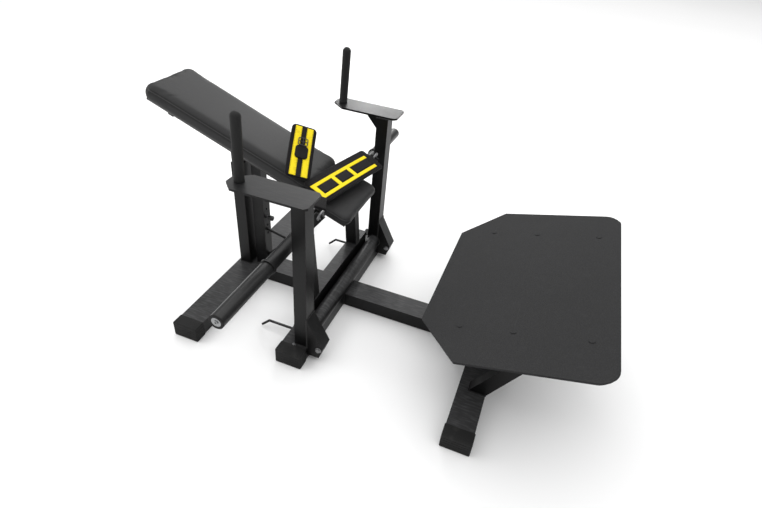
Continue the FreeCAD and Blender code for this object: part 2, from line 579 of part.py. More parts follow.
# Belt anchors: leaning flats on the horn bar, each with a ring through its eye.
def belt_anchors():
    rings = []
    anchors = []
    for side, sign in SIDES.items():
        outline = [("bar_u - anchor_wide / 2", "bar_w"), ("bar_u + anchor_wide / 2", "bar_w"),
                   ("anchor_u + anchor_wide / 2.5", "anchor_top"),
                   ("anchor_u - anchor_wide / 2.5", "anchor_top")]
        flat = plate(f"anchor_{side}_flat", "XZ_Plane", outline, "anchor_thick", middle=True)
        seat = rod(f"anchor_{side}_seat", "bar_radius", "anchor_thick + 2", "bar_u", "0 - anchor_thick / 2 - 1",
                   "bar_w", "y")
        hole = rod(f"anchor_{side}_hole", "anchor_eye", "anchor_thick + 2", "anchor_u",
                   "0 - anchor_thick / 2 - 1", "anchor_top - 2 * anchor_eye", "y")
        anchor = cut(f"belt_anchor_{side}", flat, fuse(f"anchor_{side}_cuts", seat, hole))
        anchors.append(at(anchor, y=f"{sign} * anchor_y"))
        ring = doc.addObject("Part::Torus", f"belt_ring_{side}")
        ring.Placement = FreeCAD.Placement(Vector(), FreeCAD.Rotation(Vector(0, 1, 0), 90))
        bind(ring, Radius1="ring_radius", Radius2="ring_rod")
        at(ring, "anchor_u", f"{sign} * anchor_y",
           "anchor_top - 3 * anchor_eye + ring_rod + ring_seat + ring_radius")
        rings.append(ring)
    keep(on_bench(group("belt_anchors", anchors)))
    keep(on_bench(group("belt_rings", rings)))


# Belt: a far half over the seat, a near half that stands over the back pad, and their straps.
def strip(label, start, end, wide, thick):
    """A flat strip along a line of the bench's frame, lying as level as the line allows."""
    solid = doc.addObject("Part::Box", label)
    start = Vector(*[SIZES[name] for name in start])
    end = Vector(*[SIZES[name] for name in end])
    along = (end - start).normalize()
    across = Vector(0, 0, 1).cross(along).normalize()
    turn = FreeCAD.Rotation(along, across, along.cross(across), "XYZ")
    solid.Length = (end - start).Length
    bind(solid, Width=wide, Height=thick)
    corner = start - across * (SIZES[wide] / 2) - along.cross(across) * (SIZES[thick] / 2)
    solid.Placement = FreeCAD.Placement(corner, turn)
    return solid


def belt():
    far = strip("belt_far_strip", ("far_hook_u", "far_hook_y", "far_hook_w"),
                ("far_low_u", "far_low_y", "far_low_w"), "belt_wide", "belt_thick")
    keep(on_bench(group("belt_far", [far])))
    near = strip("belt_near_strip", ("near_low_u", "near_low_y", "near_low_w"),
                 ("near_top_u", "near_top_y", "near_top_w"), "belt_near_wide", "belt_thick")
    keep(on_bench(group("belt_near", [near])))
    frame = box("belt_buckle_frame", "buckle_long", "buckle_wide", "buckle_thick")
    window = box("belt_buckle_window", "buckle_long - 2 * buckle_rod", "buckle_wide - 2 * buckle_rod",
                 "buckle_thick + 2", "buckle_rod", "buckle_rod", "-1")
    buckle = cut("belt_buckle_ring", frame, window)
    offset = Vector(near.Length.Value / 2, (SIZES["belt_near_wide"] - SIZES["buckle_wide"]) / 2,
                    SIZES["belt_thick"])
    buckle.Placement = near.Placement * FreeCAD.Placement(offset, FreeCAD.Rotation())
    keep(on_bench(group("belt_buckle", [buckle])))
    strap = strip("belt_strap_near", ("strap_hook_u", "strap_hook_y", "strap_hook_w"),
                  ("strap_low_u", "strap_low_y", "strap_low_w"), "strap_wide", "strap_thick")
    keep(on_bench(group("belt_straps", [strap])))


# Cushions: the back pad slides on the rail, the seat pad is fixed to a plate on it.
def cushions():
    top = "rail_drop + rail_tall"
    board = f"{top} + board_gap"
    keep(on_bench(bar("back_board", "XZ_Plane", "board_inset - back_head", "back_foot - board_inset", board,
                      f"{board} + board_thick", "2 * back_half - 2 * board_inset")))
    keep(on_bench(bar("back_pad", "XZ_Plane", "0 - back_head", "back_foot", f"{board} + board_thick",
                      f"{board} + board_thick + back_thick", "2 * back_half")))
    clips = []
    for number, station in enumerate(("clip_head", "clip_foot"), start=1):
        for side, sign in SIDES.items():
            start = "rail_across / 2 + clip_gap" if sign > 0 else "0 - rail_across / 2 - clip_gap - clip_thick"
            clips.append(box(f"clip_{number}_{side}", "clip_long", "clip_thick", "clip_deep",
                             f"{station} - clip_long / 2", start, f"{board} - clip_deep"))
    keep(on_bench(group("back_pad_guides", clips)))
    keep(on_bench(bar("seat_plate", "XZ_Plane", "seat_head + plate_head_inset",
                      "seat_foot - plate_foot_inset", top,
                      f"{top} + seat_plate_thick", "2 * seat_plate_half")))
    board = f"{top} + seat_plate_thick"
    keep(on_bench(bar("seat_board", "XZ_Plane", "seat_head + board_inset", "seat_foot - board_inset", board,
                      f"{board} + seat_board_thick", "2 * seat_half - 2 * board_inset")))
    keep(on_bench(bar("seat_pad", "XZ_Plane", "seat_head", "seat_foot", f"{board} + seat_board_thick",
                      f"{board} + seat_board_thick + seat_thick", "2 * seat_half")))
    rod_up = rod("pad_knob_stud", "stud_radius", "rail_drop - knob_gap", "knob_u", "0", "0", "z")
    grip = rod("pad_knob_grip", "knob_radius", "knob_tall", "knob_u", "0", "0 - knob_tall", "z")
    keep(on_bench(fuse("pad_knob", rod_up, grip)))


floor_tubes()
uprights()
foot_brackets()
rest_posts()
rear_post()
selector()
bent_rods()
platform()
bench_rail()
horn_bar()
belt_anchors()
belt()
cushions()
doc.recompute()

for thing in doc.Objects:
    if "Invalid" in thing.State or "Error" in thing.State:
        raise RuntimeError(f"{thing.Label}: {thing.State}")
os.makedirs("parts", exist_ok=True)
for thing in finished:
    if thing.Shape.isNull() or not thing.Shape.isValid() or not thing.Shape.Solids:
        raise RuntimeError(f"{thing.Label}: no valid solid")
    thing.Shape.exportStep(f"parts/{thing.Label}.step")
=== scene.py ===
"""The looks of a hip thrust machine, dressed over its CAD frame."""
import json
from math import atan2, cos, pi, radians, sin

import bpy
from mathutils import Matrix, Quaternion, Vector


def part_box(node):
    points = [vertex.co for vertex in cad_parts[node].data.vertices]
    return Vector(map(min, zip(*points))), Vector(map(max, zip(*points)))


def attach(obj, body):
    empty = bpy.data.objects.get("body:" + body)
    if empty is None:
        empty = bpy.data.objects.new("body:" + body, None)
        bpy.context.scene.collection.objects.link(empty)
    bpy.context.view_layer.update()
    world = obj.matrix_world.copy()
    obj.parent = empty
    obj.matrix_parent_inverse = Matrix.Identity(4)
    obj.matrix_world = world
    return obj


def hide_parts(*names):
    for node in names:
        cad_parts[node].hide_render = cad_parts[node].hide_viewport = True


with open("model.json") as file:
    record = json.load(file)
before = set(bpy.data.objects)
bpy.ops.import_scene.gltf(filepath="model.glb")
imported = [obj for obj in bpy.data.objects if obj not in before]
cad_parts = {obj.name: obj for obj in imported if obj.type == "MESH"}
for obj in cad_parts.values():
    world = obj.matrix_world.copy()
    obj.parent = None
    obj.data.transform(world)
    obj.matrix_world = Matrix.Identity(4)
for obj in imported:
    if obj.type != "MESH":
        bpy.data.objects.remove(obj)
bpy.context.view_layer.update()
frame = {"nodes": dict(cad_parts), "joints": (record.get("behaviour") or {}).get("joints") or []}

nodes = frame["nodes"]
joints = {joint["name"]: joint for joint in frame["joints"]}
scene = bpy.context.scene


# Camera. It stands high over the near corner of the platform end and looks down
# along the machine, held a little out of level.
camera_lens = bpy.data.cameras.new("camera")
camera_lens.sensor_width = 36
camera_lens.lens = 24.14
camera = bpy.data.objects.new("camera", camera_lens)
scene.collection.objects.link(camera)
camera.location = (0.5396, -1.5682, 1.5274)
aim = Vector((0.0454, -0.0154, 0.3002)) - camera.location
tilt = Quaternion((0, 0, 1), radians(5.69))
camera.rotation_euler = (aim.to_track_quat("-Z", "Y") @ tilt).to_euler()
scene.camera = camera
scene.view_settings.view_transform = "Standard"


class Value:
    """A number that varies over a surface, with the arithmetic that finishes need."""

    def __init__(self, finish, socket):
        self.finish = finish
        self.socket = socket

    def maths(self, operation, first, second):
        made = self.finish.node("ShaderNodeMath", {"operation": operation}, {0: first, 1: second})
        return Value(self.finish, made.outputs[0])

    def __add__(self, other):
        return self.maths("ADD", self, other)

    def __rsub__(self, other):
        return self.maths("SUBTRACT", other, self)

    def __mul__(self, other):
        return self.maths("MULTIPLY", self, other)

    __radd__ = __add__
    __rmul__ = __mul__

    def band(self, low, high):
        """Rise smoothly from 0 at low to 1 at high."""
        settings = {"interpolation_type": "SMOOTHSTEP"}
        inputs = {"Value": self, "From Min": low, "From Max": high}
        return Value(self.finish, self.finish.node("ShaderNodeMapRange", settings, inputs).outputs[0])


class Finish:
    """One procedural surface: a material with its nodes and its main shader."""

    def __init__(self, name):
        self.material = bpy.data.materials.new(name)
        self.material.use_nodes = True
        self.tree = self.material.node_tree
        self.shader = self.tree.nodes["Principled BSDF"]
        self.place = self.node("ShaderNodeTexCoord", {}, {}).outputs["Object"]

    def node(self, kind, settings, inputs):
        """Add a node, give it its settings, then the values or links of its sockets."""
        made = self.tree.nodes.new(kind)
        for name, setting in settings.items():
            setattr(made, name, setting)
        for name, value in inputs.items():
            if isinstance(value, Value):
                value = value.socket
            if isinstance(value, bpy.types.NodeSocket):
                self.tree.links.new(value, made.inputs[name])
            else:
                made.inputs[name].default_value = value
        return made

    def stretched(self, scale):
        """The place on the object, scaled along each axis, for grain that runs one way."""
        inputs = {"Vector": self.place, "Scale": scale}
        return self.node("ShaderNodeMapping", {}, inputs).outputs[0]

    def noise(self, scale, detail=3.0, roughness=0.5, place=None):
        inputs = {"Vector": place or self.place, "Scale": scale, "Detail": detail, "Roughness": roughness}
        return Value(self, self.node("ShaderNodeTexNoise", {}, inputs).outputs["Fac"])

    def cells(self, scale):
        inputs = {"Vector": self.place, "Scale": scale}
        return Value(self, self.node("ShaderNodeTexVoronoi", {}, inputs).outputs["Distance"])

    def ridges(self, scale, direction, place):
        settings = {"wave_type": "BANDS", "bands_direction": direction}
        inputs = {"Vector": place, "Scale": scale}
        return Value(self, self.node("ShaderNodeTexWave", settings, inputs).outputs["Fac"])

    def facing_up(self):
        """1 on level tops, 0 on sides and undersides."""
        normal = self.node("ShaderNodeNewGeometry", {}, {}).outputs["Normal"]
        parts = self.node("ShaderNodeSeparateXYZ", {}, {0: normal})
        return Value(self, parts.outputs["Z"]).band(0.3, 0.95)

    def height(self):
        """How high a point lies, in metres."""
        parts = self.node("ShaderNodeSeparateXYZ", {}, {0: self.place})
        return Value(self, parts.outputs["Z"])

    def colours(self, mask, low, high):
        settings = {"data_type": "RGBA"}
        inputs = {0: mask, 6: (*low, 1), 7: (*high, 1)}
        return self.node("ShaderNodeMix", settings, inputs).outputs[2]

    def bump(self, height, distance, strength):
        inputs = {"Height": height, "Distance": distance, "Strength": strength}
        made = self.node("ShaderNodeBump", {}, inputs)
        self.tree.links.new(made.outputs[0], self.shader.inputs["Normal"])

    def set(self, **sockets):
        """Set or link the shader's own sockets, an underscore standing for a space."""
        for name, value in sockets.items():
            socket = self.shader.inputs[name.replace("_", " ")]
            if isinstance(value, Value):
                value = value.socket
            if isinstance(value, bpy.types.NodeSocket):
                self.tree.links.new(value, socket)
            else:
                socket.default_value = value
        return self


def paint(finish, *names):
    """Give CAD nodes one finish."""
    for name in names:
        nodes[name].data.materials.clear()
        nodes[name].data.materials.append(finish.material)


# Floor and light. A pale seamless floor lies under one broad overhead box. A long box
# and a small one beyond the far side glance off level tops; a weak one is at the head.
floor_paint = Finish("studio_floor")
floor_tone = floor_paint.noise(0.6)
floor_paint.set(
    Base_Color=floor_paint.colours(floor_tone, (0.86, 0.86, 0.86), (0.9, 0.9, 0.9)),
    Roughness=0.9,
)
floor_drop = 0.0005
bpy.ops.mesh.primitive_plane_add(size=40, location=(0, 0, -floor_drop))
floor = bpy.context.object
floor.name = "studio_floor"
floor.data.materials.append(floor_paint.material)

sky = bpy.data.worlds.new("studio")
sky.use_nodes = True
sky.node_tree.nodes["Background"].inputs["Color"].default_value = (1, 1, 1, 1)
sky.node_tree.nodes["Background"].inputs["Strength"].default_value = 0.5
scene.world = sky


def soft_box(name, place, target, size, power):
    """An area lamp turned towards a point."""
    lamp_data = bpy.data.lights.new(name, "AREA")
    lamp_data.shape = "RECTANGLE"
    lamp_data.size, lamp_data.size_y = size
    lamp_data.energy = power
    lamp = bpy.data.objects.new(name, lamp_data)
    scene.collection.objects.link(lamp)
    lamp.location = place
    lamp.rotation_euler = (Vector(target) - Vector(place)).to_track_quat("-Z", "Y").to_euler()


soft_box("overhead_box", (0.2, 1.5, 8.0), (0.2, 1.5, 0), (18.0, 18.0), 1350)
soft_box("far_box", (-1.2, 3.6, 2.7), (0, 0, 0.5), (3.6, 1.8), 40)
soft_box("glint_box", (-1.34, 3.6, 2.05), (-0.18, 0.4, 0.715), (0.5, 0.4), 17)
soft_box("head_box", (-3.0, -1.2, 1.9), (-0.2, 0, 0.5), (1.8, 1.6), 22)


# Frame steel. The floor tubes, uprights, posts, plates and brackets are mild steel,
# welded and powder-coated satin black, with a fine orange peel. Level tops are painted
# lighter in blotches and stretched streaks, most of it near the floor: partly dust, and
# partly a painted sheen and painted brushed highlights for the light glancing off them.
frame_steel = Finish("satin_black_powder_coat")
steel_peel = frame_steel.noise(420, detail=2.0)
steel_blotch = frame_steel.noise(5, detail=4.0)
# Stretched streaks: rub marks in the roughness, and painted brushed highlights on level tops.
steel_rub_and_sheen_streaks = frame_steel.noise(48, detail=3.0, place=frame_steel.stretched((0.5, 3, 1)))
steel_low = 1 - frame_steel.height().band(0.1, 0.35)
# Level tops painted lighter: partly dust, partly a painted sheen standing in for light glancing off them.
steel_dust_and_top_sheen = frame_steel.facing_up() * (steel_rub_and_sheen_streaks.band(0.4, 0.75) * 0.35 + steel_blotch * 0.65)
steel_dust_and_top_sheen = steel_dust_and_top_sheen * (0.3 + 0.7 * steel_low)
frame_steel.set(
    Base_Color=frame_steel.colours(steel_dust_and_top_sheen, (0.0025, 0.0025, 0.0026), (0.08, 0.08, 0.082)),
    Roughness=0.3 + steel_blotch * 0.16 + steel_rub_and_sheen_streaks * 0.05,
    Specular_IOR_Level=0.2,
)
frame_steel.bump(steel_peel, 0.0004, 0.35)
frame_nodes = (
    "rear_cross_tube", "mid_cross_tube", "front_cross_tube", "spine_rear", "spine_front", "upright_left",
    "upright_right", "upright_gussets", "top_plate_left", "top_plate_right", "handle_bars",
    "foot_bracket_left", "foot_bracket_right", "brace_tube", "rest_beam", "rest_post_left",
    "rest_post_right", "rear_post", "pivot_lugs", "selector_post", "support_bar", "band_hooks",
    "belt_loop", "platform_post", "platform_supports", "platform_rails",
)
paint(frame_steel, *frame_nodes)


# Weld beads. Each joint of the frame is closed with a run of fused steel, coated
# with the frame: a rippled bead about 6 mm wide that follows the joint.
weld_steel = Finish("coated_weld_bead")
weld_lumps = weld_steel.noise(260, detail=3.0)
weld_steel.set(
    Base_Color=weld_steel.colours(weld_lumps, (0.004, 0.004, 0.0042), (0.012, 0.012, 0.012)),
    Roughness=0.34 + weld_lumps * 0.16,
    Specular_IOR_Level=0.3,
)
weld_steel.bump(weld_lumps, 0.0006, 0.5)
bead_radius = 0.003


def deselect():
    """Leave edit mode with nothing selected."""
    if bpy.context.object and bpy.context.object.mode != "OBJECT":
        bpy.ops.object.mode_set(mode="OBJECT")
    bpy.ops.object.select_all(action="DESELECT")


def use(thing):
    """Make one object the only selected and the active one."""
    deselect()
    thing.select_set(True)
    bpy.context.view_layer.objects.active = thing
    return thing


def joined(name, things):
    """Join meshes into one piece at the origin."""
    use(things[0])
    for thing in things[1:]:
        thing.select_set(True)
    if len(things) > 1:
        bpy.ops.object.join()
    whole = bpy.context.object
    bpy.ops.object.transform_apply(location=True, rotation=True, scale=True)
    whole.name = name
    whole.data.name = name
    return whole


def dress(piece, finish, body, slot, *replaced):
    """Give a finished piece its material, its body and the CAD nodes it stands for."""
    piece.data.materials.clear()
    piece.data.materials.append(finish.material)
    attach(piece, body)
    if replaced:
        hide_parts(*replaced)
    return piece


bead_pitch = 0.0035


def swell(outline, cuts):
    """Turn a wire outline into a rippled bead of weld."""
    use(outline)
    bpy.ops.object.transform_apply(location=True, rotation=True, scale=True)
    if cuts:
        bpy.ops.object.mode_set(mode="EDIT")
        bpy.ops.mesh.select_all(action="SELECT")
        bpy.ops.mesh.subdivide(number_cuts=cuts)
        bpy.ops.object.mode_set(mode="OBJECT")
    bpy.ops.object.convert(target="CURVE")
    bead = bpy.context.object
    bead.data.bevel_depth = bead_radius
    bead.data.bevel_resolution = 1
    for spline in bead.data.splines:
        for index, point in enumerate(spline.points):
            point.radius = 1.12 if index % 2 else 0.82
    bpy.ops.object.convert(target="MESH")
    bpy.ops.object.shade_smooth()
    return bpy.context.object


def weld_around(centre, across, turn=(0, 0, 0)):
    """A bead round a square tube's end; turn says how the joint's plane lies."""
    deselect()
    bpy.ops.mesh.primitive_plane_add(size=1, location=centre, rotation=turn)
    outline = bpy.context.object
    outline.scale = (across[0], across[1], 1)
    bpy.ops.object.mode_set(mode="EDIT")
    bpy.ops.mesh.delete(type="ONLY_FACE")
    bpy.ops.object.mode_set(mode="OBJECT")
    return swell(outline, int(max(across) / bead_pitch))


def weld_ring(centre, radius, turn):
    """A bead round a round tube's end."""
    deselect()
    steps = int(2 * pi * radius / bead_pitch)
    bpy.ops.mesh.primitive_circle_add(vertices=steps, radius=radius, location=centre, rotation=turn)
    return swell(bpy.context.object, 0)


facing_y = (pi / 2, 0, 0)
facing_x = (0, pi / 2, 0)
frame_beads = []
for name in ("upright_left", "upright_right", "rear_post", "selector_post", "platform_post"):
    low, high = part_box(name)
    middle = (low + high) / 2
    across = (high.x - low.x, high.y - low.y)
    frame_beads.append(weld_around((middle.x, middle.y, low.z), across))
    if name.startswith("upright"):
        frame_beads.append(weld_around((middle.x, middle.y, high.z), across))
for name in ("spine_rear", "spine_front"):
    low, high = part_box(name)
    across = (high.z - low.z, high.y - low.y)
    for x in (low.x, high.x):
        frame_beads.append(weld_around((x, 0, (low.z + high.z) / 2), across, facing_x))
low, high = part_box("rest_beam")
rest_middle = (low + high) / 2
frame_beads.append(weld_around((rest_middle.x, 0, low.z), (high.x - low.x, high.y - low.y)))
low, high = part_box("brace_tube")
brace_middle = (low + high) / 2
for y in (low.y, high.y):
    frame_beads.append(weld_ring((brace_middle.x, y, brace_middle.z), (high.z - low.z) / 2, facing_y))
tube_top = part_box("mid_cross_tube")[1].z
for name in ("foot_bracket_left", "foot_bracket_right"):
    low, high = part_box(name)
    middle = (low + high) / 2
    centre = (low.x, middle.y, (tube_top + high.z) / 2)
    frame_beads.append(weld_around(centre, (high.z - tube_top, high.y - low.y), facing_x))
for name in ("rest_post_left", "rest_post_right"):
    low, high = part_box(name)
    across = high.y - low.y
    centre = (high.x - across / 2, (low.y + high.y) / 2, low.z)
    frame_beads.append(weld_around(centre, (across, across)))
support_low, support_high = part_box("platform_supports")
support_deep = 0.062
support_across = 0.044
for side in (-1, 1):
    centre = (support_low.x + support_deep / 2, side * (support_high.y - support_across / 2), support_low.z)
    frame_beads.append(weld_around(centre, (support_deep, support_across)))
dress(joined("frame_welds", frame_beads), weld_steel, "frame", "frame_black")

bench_beads = []
low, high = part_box("horn_bar")
bar_middle = (low + high) / 2
collar_length = 0.01
for side in (-1, 1):
    centre = (bar_middle.x, side * (high.y - collar_length), bar_middle.z)
    bench_beads.append(weld_ring(centre, (high.z - low.z) / 2, facing_y))
dress(joined("bench_welds", bench_beads), weld_steel, "bench", "bench_black")


# Foot caps. Six push-on caps of matte black rubbery plastic close the floor tubes and
# stand the machine on the floor. Each is moulded with a soft edge and grip grooves.
cap_plastic = Finish("matte_cap_plastic")
cap_grain = cap_plastic.noise(900, detail=2.0)
cap_scuff = cap_plastic.noise(28, detail=5.0).band(0.52, 0.75)
cap_plastic.set(
    Base_Color=cap_plastic.colours(cap_scuff, (0.008, 0.008, 0.008), (0.018, 0.0175, 0.017)),
    Roughness=0.62 + cap_grain * 0.16,
    Specular_IOR_Level=0.25,
)
cap_plastic.bump(cap_grain, 0.0005, 0.5)
cap_reach = 0.048
cap_edge = 0.004
groove_tall = 0.0026
groove_deep = 0.001
groove_heights = (-0.018, -0.006, 0.006, 0.018)
low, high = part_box("rear_foot_caps")
cap_size = Vector((high.x - low.x, cap_reach, high.z - low.z))

deselect()
bpy.ops.mesh.primitive_cube_add(size=1)
foot_cap = bpy.context.object
foot_cap.scale = cap_size
bpy.ops.object.transform_apply(location=False, rotation=False, scale=True)


def select_faces(thing, wanted):
    """Select in edit mode only the faces that wanted(centre, normal) picks."""
    use(thing)
    bpy.ops.object.mode_set(mode="EDIT")
    bpy.ops.mesh.select_mode(type="FACE")
    bpy.ops.mesh.select_all(action="DESELECT")
    bpy.ops.object.mode_set(mode="OBJECT")
    for face in thing.data.polygons:
        face.select = wanted(face.center, face.normal)
    bpy.ops.object.mode_set(mode="EDIT")


def select_edges(thing, wanted):
    """Select in edit mode only the edges that wanted(end, other_end) picks."""
    use(thing)
    bpy.ops.object.mode_set(mode="EDIT")
    bpy.ops.mesh.select_mode(type="EDGE")
    bpy.ops.mesh.select_all(action="DESELECT")
    bpy.ops.object.mode_set(mode="OBJECT")
    points = thing.data.vertices
    for edge in thing.data.edges:
        edge.select = wanted(points[edge.vertices[0]].co, points[edge.vertices[1]].co)
    bpy.ops.object.mode_set(mode="EDIT")


select_edges(foot_cap, lambda end, other: end.y < 0 or other.y < 0)
bpy.ops.mesh.bevel(offset=cap_edge, segments=3, affect="EDGES")
for groove in groove_heights:
    for height in (groove - groove_tall / 2, groove + groove_tall / 2):
        bpy.ops.mesh.select_all(action="SELECT")
        bpy.ops.mesh.bisect(plane_co=(0, 0, height), plane_no=(0, 0, 1))
    select_faces(
        foot_cap,
        lambda centre, normal: abs(centre.z - groove) < groove_tall / 2
        and abs(normal.z) < 0.3
        and normal.y < 0.5,
    )
    bpy.ops.mesh.extrude_region_shrink_fatten(TRANSFORM_OT_shrink_fatten={"value": -groove_deep})
bpy.ops.object.mode_set(mode="OBJECT")
bpy.ops.object.shade_smooth_by_angle(angle=radians(35))


def copy_of(thing):
    """A copy with a mesh of its own."""
    twin = thing.copy()
    twin.data = thing.data.copy()
    scene.collection.objects.link(twin)
    return twin


for name in ("rear", "mid", "front"):
    low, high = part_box(name + "_foot_caps")
    pair = [copy_of(foot_cap), copy_of(foot_cap)]
    pair[0].location = ((low.x + high.x) / 2, low.y + cap_reach / 2, (low.z + high.z) / 2)
    pair[1].location = ((low.x + high.x) / 2, high.y - cap_reach / 2, (low.z + high.z) / 2)
    pair[1].rotation_euler = (0, 0, pi)
    dress(joined(name + "_caps_moulded", pair), cap_plastic, "frame", "cap_plastic", name + "_foot_caps")
bpy.data.objects.remove(foot_cap)


def turned(name, profile, sides=48):
    """A turned piece standing on z: the profile gives each ring's radius and height."""
    deselect()
    radius, height = profile[0]
    bpy.ops.mesh.primitive_circle_add(
        vertices=sides, radius=radius, fill_type="NGON", location=(0, 0, height)
    )
    made = bpy.context.object
    made.name = name
    bpy.ops.object.transform_apply(location=True, rotation=True, scale=True)
    bpy.ops.object.mode_set(mode="EDIT")
    bpy.ops.mesh.select_all(action="SELECT")
    for next_radius, next_height in profile[1:]:
        rise = {"value": (0, 0, next_height - height)}
        bpy.ops.mesh.extrude_region_move(TRANSFORM_OT_translate=rise)
        factor = next_radius / radius
        bpy.ops.transform.resize(value=(factor, factor, 1), center_override=(0, 0, next_height))
        radius, height = next_radius, next_height
    bpy.ops.mesh.select_all(action="SELECT")
    bpy.ops.mesh.normals_make_consistent(inside=False)
    bpy.ops.object.mode_set(mode="OBJECT")
    bpy.ops.object.shade_smooth_by_angle(angle=radians(40))
    return made


def dome(radius, height):
    """The last rings of a profile: a rounded end that closes on the axis."""
    steps = 7
    turns = [pi / 2 * step / steps for step in range(1, steps)]
    rings = [(radius * cos(turn), height + radius * sin(turn)) for turn in turns]
    return rings + [(radius * 0.04, height + radius)]


# Hand grips. Closed-end sleeves of matte black rubber foam are pushed over the handle
# bars, with a rolled lip at the foot and a domed top.
grip_rubber = Finish("matte_grip_rubber")
grip_pores = grip_rubber.cells(1100)
grip_shine = grip_rubber.noise(35, detail=3.0)
grip_rubber.set(
    Base_Color=grip_rubber.colours(grip_shine, (0.009, 0.009, 0.009), (0.016, 0.016, 0.016)),
    Roughness=0.62 + grip_shine * 0.15,
    Specular_IOR_Level=0.25,
)
grip_rubber.bump(grip_pores, 0.0004, 0.6)
lip_proud = 0.0006
lip_edge = 0.001
lip_tall = 0.006
for side in ("left", "right"):
    low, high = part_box("grip_" + side)
    radius = (high.y - low.y) / 2
    tall = high.z - low.z
    body_radius = radius - lip_proud
    lean = atan2(high.x - low.x - 2 * radius, tall - radius)
    lip = [(radius - lip_edge, 0), (radius, lip_edge), (radius, lip_tall), (body_radius, lip_tall + 0.0015)]
    reach = tall - radius - lip_edge
    sleeve = turned("grip_sleeve_" + side, lip + [(body_radius, reach)] + dome(body_radius, reach))
    sleeve.location = (low.x + radius, (low.y + high.y) / 2, low.z + radius * sin(lean))
    sleeve.rotation_euler = (0, lean, 0)
    dress(joined("grip_sleeve_" + side, [sleeve]), grip_rubber, "frame", "grip_rubber", "grip_" + side)


# Plate horns. Heavy round steel, coated black and rubbed in rings by the plates that
# slide on and off.
horn_paint = Finish("worn_horn_coat")
horn_rings = horn_paint.noise(90, detail=4.0, place=horn_paint.stretched((0.15, 4, 0.15)))
horn_rub = horn_paint.noise(9, detail=3.0)
horn_wear = horn_rings.band(0.45, 0.8) * horn_rub.band(0.35, 0.7)
horn_paint.set(
    Base_Color=horn_paint.colours(horn_wear, (0.005, 0.005, 0.0052), (0.02, 0.02, 0.0205)),
    Roughness=0.3 + horn_rings * 0.14,
    Specular_IOR_Level=0.4,
)
horn_paint.bump(horn_rings, 0.0002, 0.3)
paint(horn_paint, "plate_horn_left", "plate_horn_right")


# Bench steel. The rail, the horn bar with its collars, the seat plate, the belt arms and
# the pivot boss are welded up and coated like the frame.
bench_steel = Finish("satin_black_bench_coat")
bench_peel = bench_steel.noise(420, detail=2.0)
bench_tone = bench_steel.noise(7, detail=4.0)
bench_steel.set(
    Base_Color=bench_steel.colours(bench_tone, (0.004, 0.004, 0.0042), (0.009, 0.009, 0.0092)),
    Roughness=0.35 + bench_tone * 0.15,
    Specular_IOR_Level=0.3,
)
bench_steel.bump(bench_peel, 0.0004, 0.35)
paint(bench_steel, "bench_rail", "horn_bar", "horn_collars", "seat_plate", "belt_anchors", "pivot_boss")


# Horn end caps. A brushed metal disc in a black rim closes each horn and is held by
# one socket screw in a shallow dish.
cap_metal = Finish("brushed_cap_metal")
cap_brush = cap_metal.noise(700, detail=2.0)
cap_metal.set(
    Base_Color=cap_metal.colours(cap_brush, (0.22, 0.225, 0.23), (0.38, 0.385, 0.39)),
    Metallic=1.0,
    Roughness=0.3 + cap_brush * 0.15,
)
low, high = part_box("horn_caps")
horn_radius = (high.z - low.z) / 2
cap_thick = 0.006
horn_end = high.y - cap_thick
horn_rims = []
horn_discs = []
for side in (-1, 1):
    place = ((low.x + high.x) / 2, side * horn_end, (low.z + high.z) / 2)
    outwards = (-side * pi / 2, 0, 0)
    rim_profile = [
        (horn_radius - 0.0006, 0),
        (horn_radius, 0.0008),
        (horn_radius, 0.003),
        (horn_radius - 0.0012, 0.0042),
        (horn_radius - 0.008, 0.0042),
        (horn_radius - 0.0086, 0.0026),
        (0.002, 0.0026),
    ]
    horn_rims.append(turned("rim", rim_profile))
    disc_edge = [(0.0162, 0.0024), (0.0162, 0.0034), (0.0156, 0.0038)]
    dish = [(0.0105, 0.0038), (0.0092, 0.0031)]
    screw_head = [(0.0068, 0.0031), (0.0066, 0.0056), (0.006, 0.0059)]
    socket = [(0.0035, 0.0059), (0.0034, 0.0036), (0.0006, 0.0034)]
    horn_discs.append(turned("disc", disc_edge + dish + screw_head + socket, sides=36))
    for made in (horn_rims[-1], horn_discs[-1]):
        made.location = place
        made.rotation_euler = outwards
dress(joined("horn_cap_rims", horn_rims), cap_plastic, "bench", "cap_silver", "horn_caps")
dress(joined("horn_cap_discs", horn_discs), cap_metal, "bench", "cap_silver")


# The bench's own frame. Cushions and belt are laid out along the bench: its origin is
# the pivot, its first axis runs down the slope and its third stands square to the pads.
swing = joints["bench_swing"]
slide_axis = Vector(joints["back_pad_slide"]["axis"])
across_bench = Vector((0, 1, 0))
slope = Matrix((-slide_axis, across_bench, across_bench.cross(slide_axis))).transposed().to_4x4()
bench = Matrix.Translation(swing["pos_m"]) @ slope


def bench_box(name):
    """A node's lowest and highest corners in the bench's frame."""
    inverse = bench.inverted()
    points = [inverse @ vertex.co for vertex in nodes[name].data.vertices]
    low = Vector([min(point[axis] for point in points) for axis in range(3)])
    high = Vector([max(point[axis] for point in points) for axis in range(3)])
    return low, high


